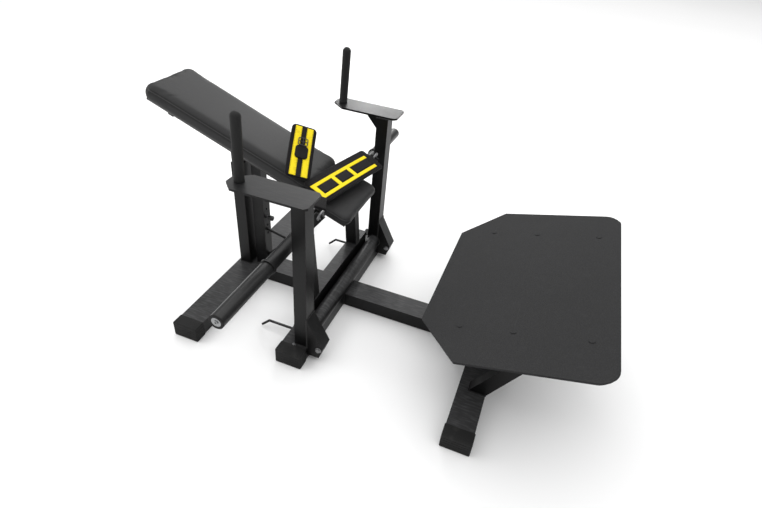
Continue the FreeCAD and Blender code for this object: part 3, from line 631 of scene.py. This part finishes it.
# Cushions. Each is firm foam on a plywood board under matte black vinyl: a top panel
# and a side band sewn together over a thin piping cord, stapled under the board.
vinyl = Finish("matte_black_vinyl")
vinyl_grain = vinyl.cells(520)
vinyl_fine = vinyl.noise(1300, detail=2.0)
vinyl_tone = vinyl.noise(4.5, detail=4.0)
vinyl_crease = vinyl.noise(38, detail=5.0, roughness=0.6).band(0.5, 0.62)
vinyl.set(
    Base_Color=vinyl.colours(vinyl_tone, (0.0095, 0.0095, 0.0097), (0.0145, 0.0145, 0.015)),
    Roughness=0.45 + vinyl_grain * 0.1 + vinyl_tone * 0.06,
    Specular_IOR_Level=0.29,
)
vinyl.bump(vinyl_grain * 0.7 + vinyl_fine * 0.3 + vinyl_crease * 0.35, 0.0005, 0.55)
piping_vinyl = Finish("piping_vinyl")
piping_wrinkle = piping_vinyl.noise(300, detail=2.0)
piping_vinyl.set(
    Base_Color=piping_vinyl.colours(piping_wrinkle, (0.009, 0.009, 0.009), (0.017, 0.017, 0.017)),
    Roughness=0.42 + piping_wrinkle * 0.15,
)
piping_vinyl.bump(piping_wrinkle, 0.0004, 0.5)


def modify(thing, kind, **settings):
    """Add one modifier with its settings and apply it."""
    use(thing)
    modifier = thing.modifiers.new(kind.lower(), kind)
    for name, setting in settings.items():
        setattr(modifier, name, setting)
    bpy.ops.object.modifier_apply(modifier=modifier.name)


def stuff(pad, pressure, most):
    """Swell a closed pad by its own pressure, no point moving further than most."""
    homes = [vertex.co.copy() for vertex in pad.data.vertices]
    use(pad)
    cloth = pad.modifiers.new("stuffing", "CLOTH")
    cloth.settings.use_pressure = True
    cloth.settings.uniform_pressure_force = pressure
    cloth.settings.effector_weights.gravity = 0
    for step in range(1, 21):
        scene.frame_set(step)
    bpy.ops.object.modifier_apply(modifier=cloth.name)
    for vertex, home in zip(pad.data.vertices, homes):
        move = vertex.co - home
        if move.length > most:
            vertex.co = home + move.normalized() * most


def cushion(name, low, high, corner, crown, shoulder, belly, flare):
    """A foam pad that fills the given corners of the bench's frame, swollen by crown.

    Its top edge is rounded by shoulder. Its sides belly out past the corners, draw in
    again under the board, and spread by flare towards the head end.
    """
    deselect()
    middle = (low + high) / 2
    bpy.ops.mesh.primitive_cube_add(size=1, location=middle)
    pad = bpy.context.object
    pad.name = name
    side_room = 1.2 * crown
    pad.scale = high - low - Vector((side_room, side_room, crown))
    bpy.ops.object.transform_apply(location=True, rotation=True, scale=True)
    select_edges(pad, lambda end, other: abs(end.z - other.z) > 0.5 * (high.z - low.z))
    bpy.ops.mesh.bevel(offset=corner, segments=6, affect="EDGES")
    bpy.ops.object.mode_set(mode="OBJECT")
    select_edges(pad, lambda end, other: min(end.z, other.z) > middle.z)
    bpy.ops.mesh.bevel(offset=shoulder, segments=4, affect="EDGES")
    bpy.ops.object.mode_set(mode="OBJECT")
    modify(pad, "REMESH", mode="VOXEL", voxel_size=0.005)
    stuff(pad, 4, crown)
    tall = high.z - low.z
    tuck = 0.8 * belly
    long = high.x - low.x
    for vertex in pad.data.vertices:
        share = min(1, max(0, (vertex.co.z - low.z) / tall))
        side = vertex.normal.copy()
        side.z = 0
        bulge = belly * sin(pi * share) - tuck * (1 - share) ** 4
        vertex.co += side * bulge
        vertex.co.y *= 1 + flare * min(1, max(0, (high.x - vertex.co.x) / long))
        vertex.co.z = max(low.z, vertex.co.z)
    modify(pad, "SUBSURF", levels=1, render_levels=1)
    bpy.ops.object.shade_smooth()
    return pad


def rim_line(low, high, corner, height, steps=9):
    """Points round a pad's outline at one height, with rounded corners."""
    points = []
    for index, (x_side, y_side) in enumerate(((1, 1), (-1, 1), (-1, -1), (1, -1))):
        x = high.x - corner if x_side > 0 else low.x + corner
        y = high.y - corner if y_side > 0 else low.y + corner
        for step in range(steps):
            turn = pi / 2 * (index + step / (steps - 1))
            points.append(Vector((x + corner * cos(turn), y + corner * sin(turn), height)))
    spaced = []
    most = 0.02
    for start, end in zip(points, points[1:] + points[:1]):
        cuts = max(1, int((end - start).length / most))
        spaced += [start.lerp(end, cut / cuts) for cut in range(cuts)]
    return spaced


def snug(pad, points, centre, sink):
    """Move each point in towards the centre line until it lies on the pad."""
    resting = []
    for point in points:
        target = Vector((min(max(point.x, centre[0].x), centre[1].x), 0, point.z))
        inwards = (target - point).normalized()
        outside = point - inwards * 0.05
        hit, place = pad.ray_cast(outside, inwards)[:2]
        resting.append(place + inwards * sink if hit else point)
    return resting


def cord_along(name, points, radius, closed=True, sides=2):
    """A round cord through points, as a mesh."""
    line = bpy.data.curves.new(name, "CURVE")
    line.dimensions = "3D"
    spline = line.splines.new("POLY")
    spline.points.add(len(points) - 1)
    for point, place in zip(spline.points, points):
        point.co = (*place, 1)
    spline.use_cyclic_u = closed
    line.bevel_depth = radius
    line.bevel_resolution = sides
    line.use_fill_caps = True
    holder = bpy.data.objects.new(name, line)
    scene.collection.objects.link(holder)
    use(holder)
    bpy.ops.object.convert(target="MESH")
    bpy.ops.object.shade_smooth()
    return bpy.context.object


def press_seam(pad, height, deep):
    """Draw the cover in along a seam line that runs round the sides."""
    wide = 0.0035
    for vertex in pad.data.vertices:
        offset = (vertex.co.z - height) / wide
        if abs(offset) > 2:
            continue
        pull = deep * max(0, 1 - offset * offset / 4) ** 2
        side = vertex.normal.copy()
        side.z = 0
        if side.length > 0.5:
            vertex.co -= side.normalized() * pull


board_wrap = 0.008
cord_radius = 0.0017
cord_sink = 0.0002
seam_deep = 0.002


def upholstered(name, node, body, corner, crown, shoulder, belly, flare):
    """A cushion whose cover wraps its board, with a piping cord along the top panel's seam."""
    low, high = bench_box(node)
    low.z -= board_wrap
    pad = cushion(name + "_cover", low, high, corner, crown, shoulder, belly, flare)
    height = high.z - shoulder
    press_seam(pad, height, seam_deep)
    core = (Vector((low.x + high.y, 0, 0)), Vector((high.x - high.y, 0, 0)))
    outline = rim_line(low, high, corner, height)
    cord = cord_along(name + "_piping", snug(pad, outline, core, cord_sink), cord_radius)
    for thing in (pad, cord):
        thing.data.transform(bench)
    dress(pad, vinyl, body, "vinyl", node)
    dress(joined(name + "_piping", [cord]), piping_vinyl, body, "vinyl")


upholstered(
    "back_cushion", "back_pad", "back_cushion",
    corner=0.03, crown=0.005, shoulder=0.017, belly=0.008, flare=0.06,
)
upholstered(
    "seat_cushion", "seat_pad", "bench",
    corner=0.03, crown=0.004, shoulder=0.009, belly=0.004, flare=0,
)


# Cushion boards. Black-stained plywood under each cushion, with a faint grain along
# the bench and a satin seal.
board_ply = Finish("black_stained_plywood")
board_grain = board_ply.noise(60, detail=5.0, place=board_ply.stretched((0.25, 5, 1)))
board_ply.set(
    Base_Color=board_ply.colours(board_grain, (0.008, 0.0075, 0.007), (0.02, 0.018, 0.016)),
    Roughness=0.55 + board_grain * 0.2,
)
board_ply.bump(board_grain, 0.0005, 0.4)
paint(board_ply, "back_board", "seat_board")


# Foot platform. An 8 mm steel plate with cut and rounded corners, sprayed with a
# charcoal anti-slip coat that also covers the screws that hold it to its rails.
deck = Finish("charcoal_anti_slip")
deck_grit = deck.cells(420)
deck_speck = deck.noise(520, detail=2.0)
deck_patch = deck.noise(3.2, detail=5.0)
deck_scuff = deck.noise(22, detail=6.0, roughness=0.65).band(0.56, 0.72)
deck_pale = deck_speck.band(0.42, 0.7) * 0.55 + deck_scuff * 0.1 + deck_patch * 0.25
deck.set(
    Base_Color=deck.colours(deck_pale, (0.011, 0.011, 0.0115), (0.034, 0.034, 0.035)),
    Roughness=0.7 + deck_speck * 0.16,
    Specular_IOR_Level=0.25,
)
deck.bump(deck_grit * 0.6 + deck_speck * 0.6, 0.0009, 0.75)
paint(deck, "platform_bolts")
platform = copy_of(nodes["foot_platform"])
plate_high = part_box("foot_platform")[1]
longest_corner = 0.012
corner_round = 0.02
joined("foot_platform_rounded", [platform])
use(platform)
bpy.ops.object.mode_set(mode="EDIT")
bpy.ops.mesh.select_all(action="SELECT")
bpy.ops.mesh.remove_doubles(threshold=0.00001)
bpy.ops.object.mode_set(mode="OBJECT")


def is_front_corner(end, other):
    """True for a short edge through the plate at one of its two front corners."""
    outermost = min(abs(end.y), abs(other.y)) > plate_high.y - 2 * corner_round
    foremost = min(end.x, other.x) > plate_high.x - 3 * corner_round
    return (end - other).length < longest_corner and outermost and foremost


select_edges(platform, is_front_corner)
bpy.ops.mesh.bevel(offset=corner_round, segments=6, affect="EDGES")
bpy.ops.object.mode_set(mode="OBJECT")
bpy.ops.object.shade_flat()
dress(platform, deck, "frame", "deck_texture", "foot_platform")


# Belt. A padded hip belt in two halves: black woven nylon over foam with rolled edges,
# yellow tape sewn on as rails, hung between the rings of the bench's two belt arms.
belt_cloth = Finish("black_belt_nylon")
belt_trim = Finish("yellow_belt_tape")
belt_webbing = Finish("black_webbing")


def woven(finish, pitch):
    """The rise and fall of a plain weave that follows the cloth's own flat layout."""
    flat = finish.node("ShaderNodeUVMap", {"uv_map": "cloth"}, {}).outputs[0]
    ridge_at_scale_one = 0.314
    threads = ridge_at_scale_one / pitch
    return finish.ridges(threads, "X", flat) * finish.ridges(threads, "Y", flat)


cloth_weave = woven(belt_cloth, 0.0018)
cloth_fade = belt_cloth.noise(30, detail=4.0)
cloth_pale = cloth_weave * cloth_fade.band(0.2, 0.8)
belt_cloth.set(
    Base_Color=belt_cloth.colours(cloth_pale, (0.004, 0.0034, 0.0038), (0.013, 0.011, 0.0125)),
    Roughness=0.84 - cloth_weave * 0.1,
    Specular_IOR_Level=0.15,
    Sheen_Weight=0.04,
)
belt_cloth.bump(cloth_weave, 0.0006, 0.6)
trim_weave = woven(belt_trim, 0.0016)
trim_soil = belt_trim.noise(45, detail=5.0).band(0.5, 0.75)
belt_trim.set(
    Base_Color=belt_trim.colours(trim_soil * 0.5 + trim_weave * 0.25, (0.9, 0.7, 0.006), (0.6, 0.43, 0.005)),
    Roughness=0.7 + trim_weave * 0.12,
    Specular_IOR_Level=0.3,
)
belt_trim.bump(trim_weave, 0.0005, 0.6)
webbing_weave = woven(belt_webbing, 0.0024)
belt_webbing.set(
    Base_Color=belt_webbing.colours(webbing_weave, (0.004, 0.0036, 0.004), (0.015, 0.0135, 0.015)),
    Roughness=0.7 + webbing_weave * 0.15,
    Specular_IOR_Level=0.2,
)
belt_webbing.bump(webbing_weave, 0.0008, 0.7)


def flat_layout(name):
    """A strip node's own frame, and its length, width and thickness, from its corners."""
    inverse = bench.inverted()
    corners = []
    for vertex in nodes[name].data.vertices:
        point = inverse @ vertex.co
        if all((point - other).length > 0.0005 for other in corners):
            corners.append(point)
    start = max(corners, key=lambda point: point.x)
    edges = []
    for reach in sorted((corner - start for corner in corners), key=lambda reach: reach.length):
        if reach.length and all(abs(reach.normalized().dot(edge.normalized())) < 0.01 for edge in edges):
            edges.append(reach)
    thick, wide, long = edges
    middle = sum(corners, Vector()) / len(corners)
    up = thick.normalized() * (1 if thick.z > 0 else -1)
    along = long.normalized()
    turn = Matrix((along, up.cross(along), up)).transposed().to_4x4()
    origin = middle - long / 2
    return Matrix.Translation(origin) @ turn, long.length, wide.length, thick.length


def patch(low, high, edge, corner=0.0, cuts=0):
    """A flat sewn piece in a strip's layout: rolled edges, and cuts across it so that it bends."""
    deselect()
    low, high = Vector(low), Vector(high)
    bpy.ops.mesh.primitive_cube_add(size=1, location=(low + high) / 2)
    made = bpy.context.object
    made.scale = high - low
    bpy.ops.object.transform_apply(location=True, rotation=True, scale=True)
    if corner:
        select_edges(made, lambda end, other: abs(end.z - other.z) > 0.5 * (high.z - low.z))
        bpy.ops.mesh.bevel(offset=corner, segments=5, affect="EDGES")
        bpy.ops.object.mode_set(mode="OBJECT")
    select_edges(made, lambda end, other: abs(end.z - other.z) < 0.01 * (high.z - low.z))
    bpy.ops.mesh.bevel(offset=edge, segments=3, affect="EDGES")
    for cut in range(1, cuts):
        bpy.ops.mesh.select_all(action="SELECT")
        across = low.x + (high.x - low.x) * cut / cuts
        bpy.ops.mesh.bisect(plane_co=(across, 0, 0), plane_no=(1, 0, 0))
    bpy.ops.object.mode_set(mode="OBJECT")
    bpy.ops.object.shade_smooth_by_angle(angle=radians(50))
    cloth_map = made.data.uv_layers.new(name="cloth")
    for corner_loop, spot in zip(made.data.loops, cloth_map.data):
        spot.uv = made.data.vertices[corner_loop.vertex_index].co.xy
    return made


def stitches(start, end, height):
    """A row of sewn stitches between two points of a strip's layout."""
    pitch = 0.0065
    radius = 0.0005
    start, end = Vector((*start, height)), Vector((*end, height))
    count = int((end - start).length / pitch)
    heading = (end - start).to_track_quat("X", "Z").to_euler()
    row = []
    for number in range(count):
        middle = start.lerp(end, (number + 0.5) / count)
        deselect()
        bpy.ops.mesh.primitive_uv_sphere_add(
            segments=5, ring_count=4, radius=1, location=middle, rotation=heading
        )
        row.append(bpy.context.object)
        row[-1].scale = (pitch * 0.36, radius * 1.5, radius)
        row[-1].data.uv_layers[0].name = "cloth"
    return row


def sewn(name, things, layout, long, bow, finish, slot, *replaced):
    """Join a strip's pieces, arch them along the strip and lay them in place on the bench."""
    piece = joined(name, things)
    for vertex in piece.data.vertices:
        share = min(1, max(0, vertex.co.x / long))
        vertex.co.z += 4 * bow * share * (1 - share)
    piece.data.transform(bench @ layout)
    return dress(piece, finish, "bench", slot, *replaced)


# Far half of the belt, with yellow rails and three rungs round mesh panels. It runs
# from the far ring down across the seat.
layout, long, wide, thick = flat_layout("belt_far")
face = thick / 2
bow = 0.003
rolled = 0.0045
tape = 0.014
tape_thick = 0.0016
tape_edge = 0.0005
tape_sunk = 0.001
stitch_inset = 0.002
web_edge = 0.0008
upper_border = 0.016
lower_border = 0.03
rails = (wide / 2 - upper_border - tape, lower_border - wide / 2)
body = patch((0, -wide / 2, -face), (long, wide / 2, face - tape_thick), rolled, corner=0.014, cuts=16)
sewn("belt_far_body", [body], layout, long, bow, belt_cloth, "belt_fabric", "belt_far")
top_face = face - tape_thick
tapes = []
threads = []
rail_start = 0.03
rail_end = long - 0.003
for low_edge in rails:
    low = (rail_start, low_edge, top_face - tape_sunk)
    tapes.append(patch(low, (rail_end, low_edge + tape, face), tape_edge, cuts=14))
    for edge in (low_edge + stitch_inset, low_edge + tape - stitch_inset):
        threads += stitches((rail_start, edge), (rail_end, edge), face)
rungs = (0.43, 0.685, 0.965)
rung_wide = 0.019
rung_proud = 0.0003
for share in rungs:
    middle = share * long
    low = (middle - rung_wide / 2, rails[1] + tape - tape_sunk, top_face - tape_sunk)
    high = (middle + rung_wide / 2, rails[0] + tape_sunk, face + rung_proud)
    tapes.append(patch(low, high, tape_edge))
sewn("belt_far_rails", tapes, layout, long, bow, belt_trim, "belt_fabric")
panels = []
panel_gap = 0.003
panel_sunk = 0.002
panel_proud = 0.0008
stations = [rail_start] + [share * long for share in rungs]
for start, end in zip(stations, stations[1:]):
    low = (start + rung_wide / 2 + panel_gap, rails[1] + tape + panel_gap, top_face - panel_sunk)
    high = (end - rung_wide / 2 - panel_gap, rails[0] - panel_gap, face + panel_proud)
    panels.append(patch(low, high, 0.0022, corner=0.004, cuts=4))
sewn("belt_far_panels", panels, layout, long, bow, belt_webbing, "belt_fabric")
sewn("belt_far_stitches", threads, layout, long, bow, belt_trim, "belt_fabric")
tab_half = 0.02
end_tab = patch((-0.012, -tab_half, -0.002), (0.055, tab_half, 0.0022), web_edge, cuts=4)
sewn("belt_far_end_tab", [end_tab], layout, long, bow, belt_webbing, "webbing")


# Near half of the belt. Two wide yellow stripes, with a black web down the middle that
# runs through a steel buckle and under a small keeper pad.
layout, long, wide, thick = flat_layout("belt_near")
face = thick / 2
bow = -0.004
border = 0.0135
stripe = 0.024
stripe_start = 0.006
stripe_end = long - 0.008
body = patch((0, -wide / 2, -face), (long, wide / 2, face - tape_thick), rolled, corner=0.016, cuts=12)
sewn("belt_near_body", [body], layout, long, bow, belt_cloth, "belt_fabric", "belt_near")
top_face = face - tape_thick
tapes = []
threads = []
for side in (-1, 1):
    outer = side * (wide / 2 - border)
    inner = side * (wide / 2 - border - stripe)
    low = (stripe_start, min(outer, inner), top_face - tape_sunk)
    tapes.append(patch(low, (stripe_end, max(outer, inner), face), tape_edge, cuts=12))
    for edge in (outer - side * stitch_inset, inner + side * stitch_inset):
        threads += stitches((stripe_start + stitch_inset, edge), (stripe_end - stitch_inset, edge), face)
sewn("belt_near_stripes", tapes, layout, long, bow, belt_trim, "belt_fabric")
sewn("belt_near_stitches", threads, layout, long, bow, belt_webbing, "belt_fabric")
web_half = 0.0085
web_thick = 0.0012
web = [patch((0.002, -web_half, top_face), (long - 0.004, web_half, face + web_thick), 0.0006, cuts=12)]
buckle_low, buckle_high = bench_box("belt_buckle")
buckle_spot = layout.inverted() @ ((buckle_low + buckle_high) / 2)
keeper_long = 0.053
keeper_half = 0.0235
keeper_thick = 0.0052
keeper_end = buckle_spot.x - 0.003
keeper_low = (keeper_end - keeper_long, -keeper_half, face)
keeper_high = (keeper_end, keeper_half, face + keeper_thick)
web.append(patch(keeper_low, keeper_high, 0.0018, corner=0.012, cuts=4))
sewn("belt_near_web", web, layout, long, bow, belt_webbing, "webbing")


# Buckle. A bent steel wire frame with a centre bar and a tongue, black-plated. It sits
# on the belt's web at the end of the keeper pad.
black_zinc = Finish("black_zinc_plate")
black_cloud = black_zinc.noise(70, detail=3.0)
black_zinc.set(
    Base_Color=black_zinc.colours(black_cloud, (0.03, 0.03, 0.031), (0.075, 0.075, 0.077)),
    Metallic=0.8,
    Roughness=0.34 + black_cloud * 0.15,
)
buckle_long = 0.03
buckle_wide = 0.034
wire = 0.0018
wire_bend = 0.006
half_frame = Vector((buckle_long / 2, buckle_wide / 2, 0))
outline = rim_line(-half_frame, half_frame, wire_bend, 0, steps=5)
bar = [Vector((0, -half_frame.y, 0)), Vector((0, half_frame.y, 0))]
tongue = [Vector((-half_frame.x, 0, wire)), Vector((half_frame.x + 0.002, 0, wire * 1.2))]
wires = [
    cord_along("buckle_wire", outline, wire, sides=3),
    cord_along("buckle_bar", bar, wire * 0.8, closed=False, sides=3),
    cord_along("buckle_tongue", tongue, wire * 0.7, closed=False, sides=3),
]
for made in wires:
    made.data.transform(Matrix.Translation((keeper_end + half_frame.x, 0, face + wire + web_thick)))
buckle = joined("belt_buckle_wire", wires)
buckle.data.transform(bench @ layout)
dress(buckle, black_zinc, "bench", "zinc", "belt_buckle")


# Near strap. A folded web ties the near ring to the end of the belt's far half, with
# one row of stitches across the fold.
layout, long, wide, thick = flat_layout("belt_straps")
half = wide / 2
face = thick / 2
bow = 0.002
fold_thick = 0.002
strap = patch((0, -half, -face), (long, half, face), web_edge, cuts=10)
fold = patch((0.002, -half + 0.001, face), (long * 0.6, half - 0.001, face + fold_thick), 0.0006, cuts=6)
stitched_at = long * 0.56
stitch_half = half - 0.004
cross_stitch = stitches((stitched_at, -stitch_half), (stitched_at, stitch_half), face + fold_thick)
sewn("belt_strap_folded", [strap, fold], layout, long, bow, belt_webbing, "webbing", "belt_straps")
sewn("belt_strap_stitch", cross_stitch, layout, long, bow, belt_webbing, "webbing")


# Belt rings. A bent ring of zinc-plated steel ties each end of the belt to one of the
# horn bar's two arms.
zinc = Finish("zinc_plate")
zinc_cloud = zinc.noise(60, detail=4.0)
zinc.set(
    Base_Color=zinc.colours(zinc_cloud, (0.14, 0.14, 0.145), (0.3, 0.3, 0.305)),
    Metallic=1.0,
    Roughness=0.3 + zinc_cloud * 0.18,
)
zinc.bump(zinc_cloud, 0.0003, 0.3)
paint(zinc, "belt_rings")


# Bearings and rubber. Bronze bushes run on the pivot pin; black rubber blocks take the
# bench's weight on the rest posts and the support bar.
bronze = Finish("oiled_bronze")
bronze_cloud = bronze.noise(80, detail=3.0)
bronze.set(
    Base_Color=bronze.colours(bronze_cloud, (0.3, 0.17, 0.07), (0.45, 0.28, 0.12)),
    Metallic=1.0,
    Roughness=0.35 + bronze_cloud * 0.2,
)
paint(bronze, "pivot_bushes")
block_rubber = Finish("black_block_rubber")
rubber_bloom = block_rubber.noise(50, detail=5.0)
block_rubber.set(
    Base_Color=block_rubber.colours(rubber_bloom, (0.01, 0.01, 0.01), (0.03, 0.029, 0.028)),
    Roughness=0.72 + rubber_bloom * 0.15,
    Specular_IOR_Level=0.3,
)
block_rubber.bump(rubber_bloom, 0.0006, 0.4)
paint(block_rubber, "rest_bumpers", "support_rubber", "rail_plug", "back_pad_guides")


# Fasteners. Zinc-plated hex bolts with chamfered heads and washers fix the foot
# brackets and the pivot, one on each side.


def hex_end(height, across, washer):
    """A washer with a chamfered hex head or nut on it, standing on z."""
    chamfer = 0.0012
    flank = [(across * 0.94, chamfer), (across, 0.002), (across, height - chamfer)]
    head = turned("hex", flank + [(across * 0.88, height)], sides=6)
    disc = turned("washer", [(washer, 0), (washer, 0.001), (washer * 0.96, 0.0014)], sides=32)
    use(disc)
    head.select_set(True)
    bpy.ops.object.join()
    return bpy.context.object


low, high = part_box("foot_bolts")
bolt_x = (low.x + high.x) / 2
bolt_z = (low.z + high.z) / 2
upright_low, upright_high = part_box("upright_left")
ends = []
for side in (-1, 1):
    for start, facing in ((upright_high.y, side), (upright_low.y, -side)):
        end = hex_end(height=0.0068, across=0.0098, washer=0.0125)
        end.location = (bolt_x, side * start, bolt_z)
        end.rotation_euler = (-facing * pi / 2, 0, 0)
        ends.append(end)
dress(joined("foot_bolt_ends", ends), zinc, "frame", "zinc", "foot_bolts")
low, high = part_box("pivot_pin")
lug_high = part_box("pivot_lugs")[1]
pin_middle = (low + high) / 2
ends = []
for side in (-1, 1):
    end = hex_end(height=high.y - lug_high.y - 0.0004, across=0.0148, washer=0.0158)
    end.location = (pin_middle.x, side * lug_high.y, pin_middle.z)
    end.rotation_euler = (-side * pi / 2, 0, 0)
    ends.append(end)
dress(joined("pivot_bolt_ends", ends), zinc, "frame", "zinc")
paint(zinc, "pivot_pin")


# Cap screws. A small zinc-plated screw on each end of the middle floor tube fixes its
# cap from above.
low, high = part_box("mid_cross_tube")
screw_inset = 0.045
screws = []
for side in (-1, 1):
    screw = hex_end(height=0.0045, across=0.0062, washer=0.0085)
    screw.location = ((low.x + high.x) / 2, side * (high.y - screw_inset), high.z)
    screws.append(screw)
dress(joined("cap_screws", screws), zinc, "frame", "zinc")


# Knobs. Moulded black plastic: a six-lobed clamp knob on a zinc stud under the bench,
# and a ribbed pull knob on the selector's zinc pin.
knob_plastic = Finish("moulded_knob_plastic")
knob_grain = knob_plastic.noise(260, detail=3.0)
knob_plastic.set(
    Base_Color=knob_plastic.colours(knob_grain, (0.008, 0.008, 0.008), (0.015, 0.015, 0.015)),
    Roughness=0.32 + knob_grain * 0.16,
    Specular_IOR_Level=0.5,
)
knob_plastic.bump(knob_grain, 0.0003, 0.4)


def lobed(name, radius, tall, lobes, depth):
    """A knob standing on z, its edge drawn in between the lobes."""
    rim = [(radius * 0.9, 0), (radius, tall * 0.12), (radius, tall * 0.8), (radius * 0.92, tall * 0.94)]
    made = turned(name, rim + [(radius * 0.6, tall), (radius * 0.05, tall)], sides=lobes * 12)
    for vertex in made.data.vertices:
        turn = atan2(vertex.co.y, vertex.co.x)
        reach = vertex.co.xy.length / radius
        factor = 1 - depth * reach * (0.5 - 0.5 * cos(lobes * turn))
        vertex.co.x *= factor
        vertex.co.y *= factor
    return made


clamp_low, clamp_high = bench_box("pad_knob")
knob_radius = (clamp_high.y - clamp_low.y) / 2
knob_tall = 0.026
knob_top = clamp_low.z + knob_tall
knob_middle = (clamp_low + clamp_high) / 2
hand = lobed("pad_knob_hand", knob_radius, knob_tall, lobes=6, depth=0.2)
hand.data.transform(Matrix.Rotation(pi, 4, "X"))
hand.data.transform(bench @ Matrix.Translation((knob_middle.x, 0, knob_top)))
dress(joined("pad_knob_hand", [hand]), knob_plastic, "pad_clamp", "knob_plastic", "pad_knob")
pin_radius = 0.0049
stud = turned("pad_knob_stud", [(pin_radius, knob_top - 0.002), (pin_radius, clamp_high.z)], sides=20)
boss = turned("pad_knob_boss", [(0.0095, knob_top - 0.001), (0.0085, knob_top + 0.006)], sides=24)
metal = joined("pad_knob_stud", [stud, boss])
metal.data.transform(bench @ Matrix.Translation((knob_middle.x, 0, 0)))
dress(metal, zinc, "pad_clamp", "zinc")

low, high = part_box("pull_pin")
pull_radius = (high.z - low.z) / 2
pull_long = 0.02
pull_middle = (low + high) / 2
pull = lobed("pull_pin_knob", pull_radius, pull_long, lobes=12, depth=0.06)
pull.location = (high.x - pull_long, pull_middle.y, pull_middle.z)
pull.rotation_euler = (0, pi / 2, 0)
dress(joined("pull_pin_knob", [pull]), knob_plastic, "pull_pin", "knob_plastic", "pull_pin")
shank_long = high.x - low.x - pull_long + 0.002
shank = [(pin_radius * 0.8, 0), (pin_radius, 0.001), (pin_radius, shank_long)]
pin = turned("pull_pin_shank", shank, sides=24)
pin.location = (low.x, pull_middle.y, pull_middle.z)
pin.rotation_euler = (0, pi / 2, 0)
dress(joined("pull_pin_shank", [pin]), zinc, "pull_pin", "zinc")
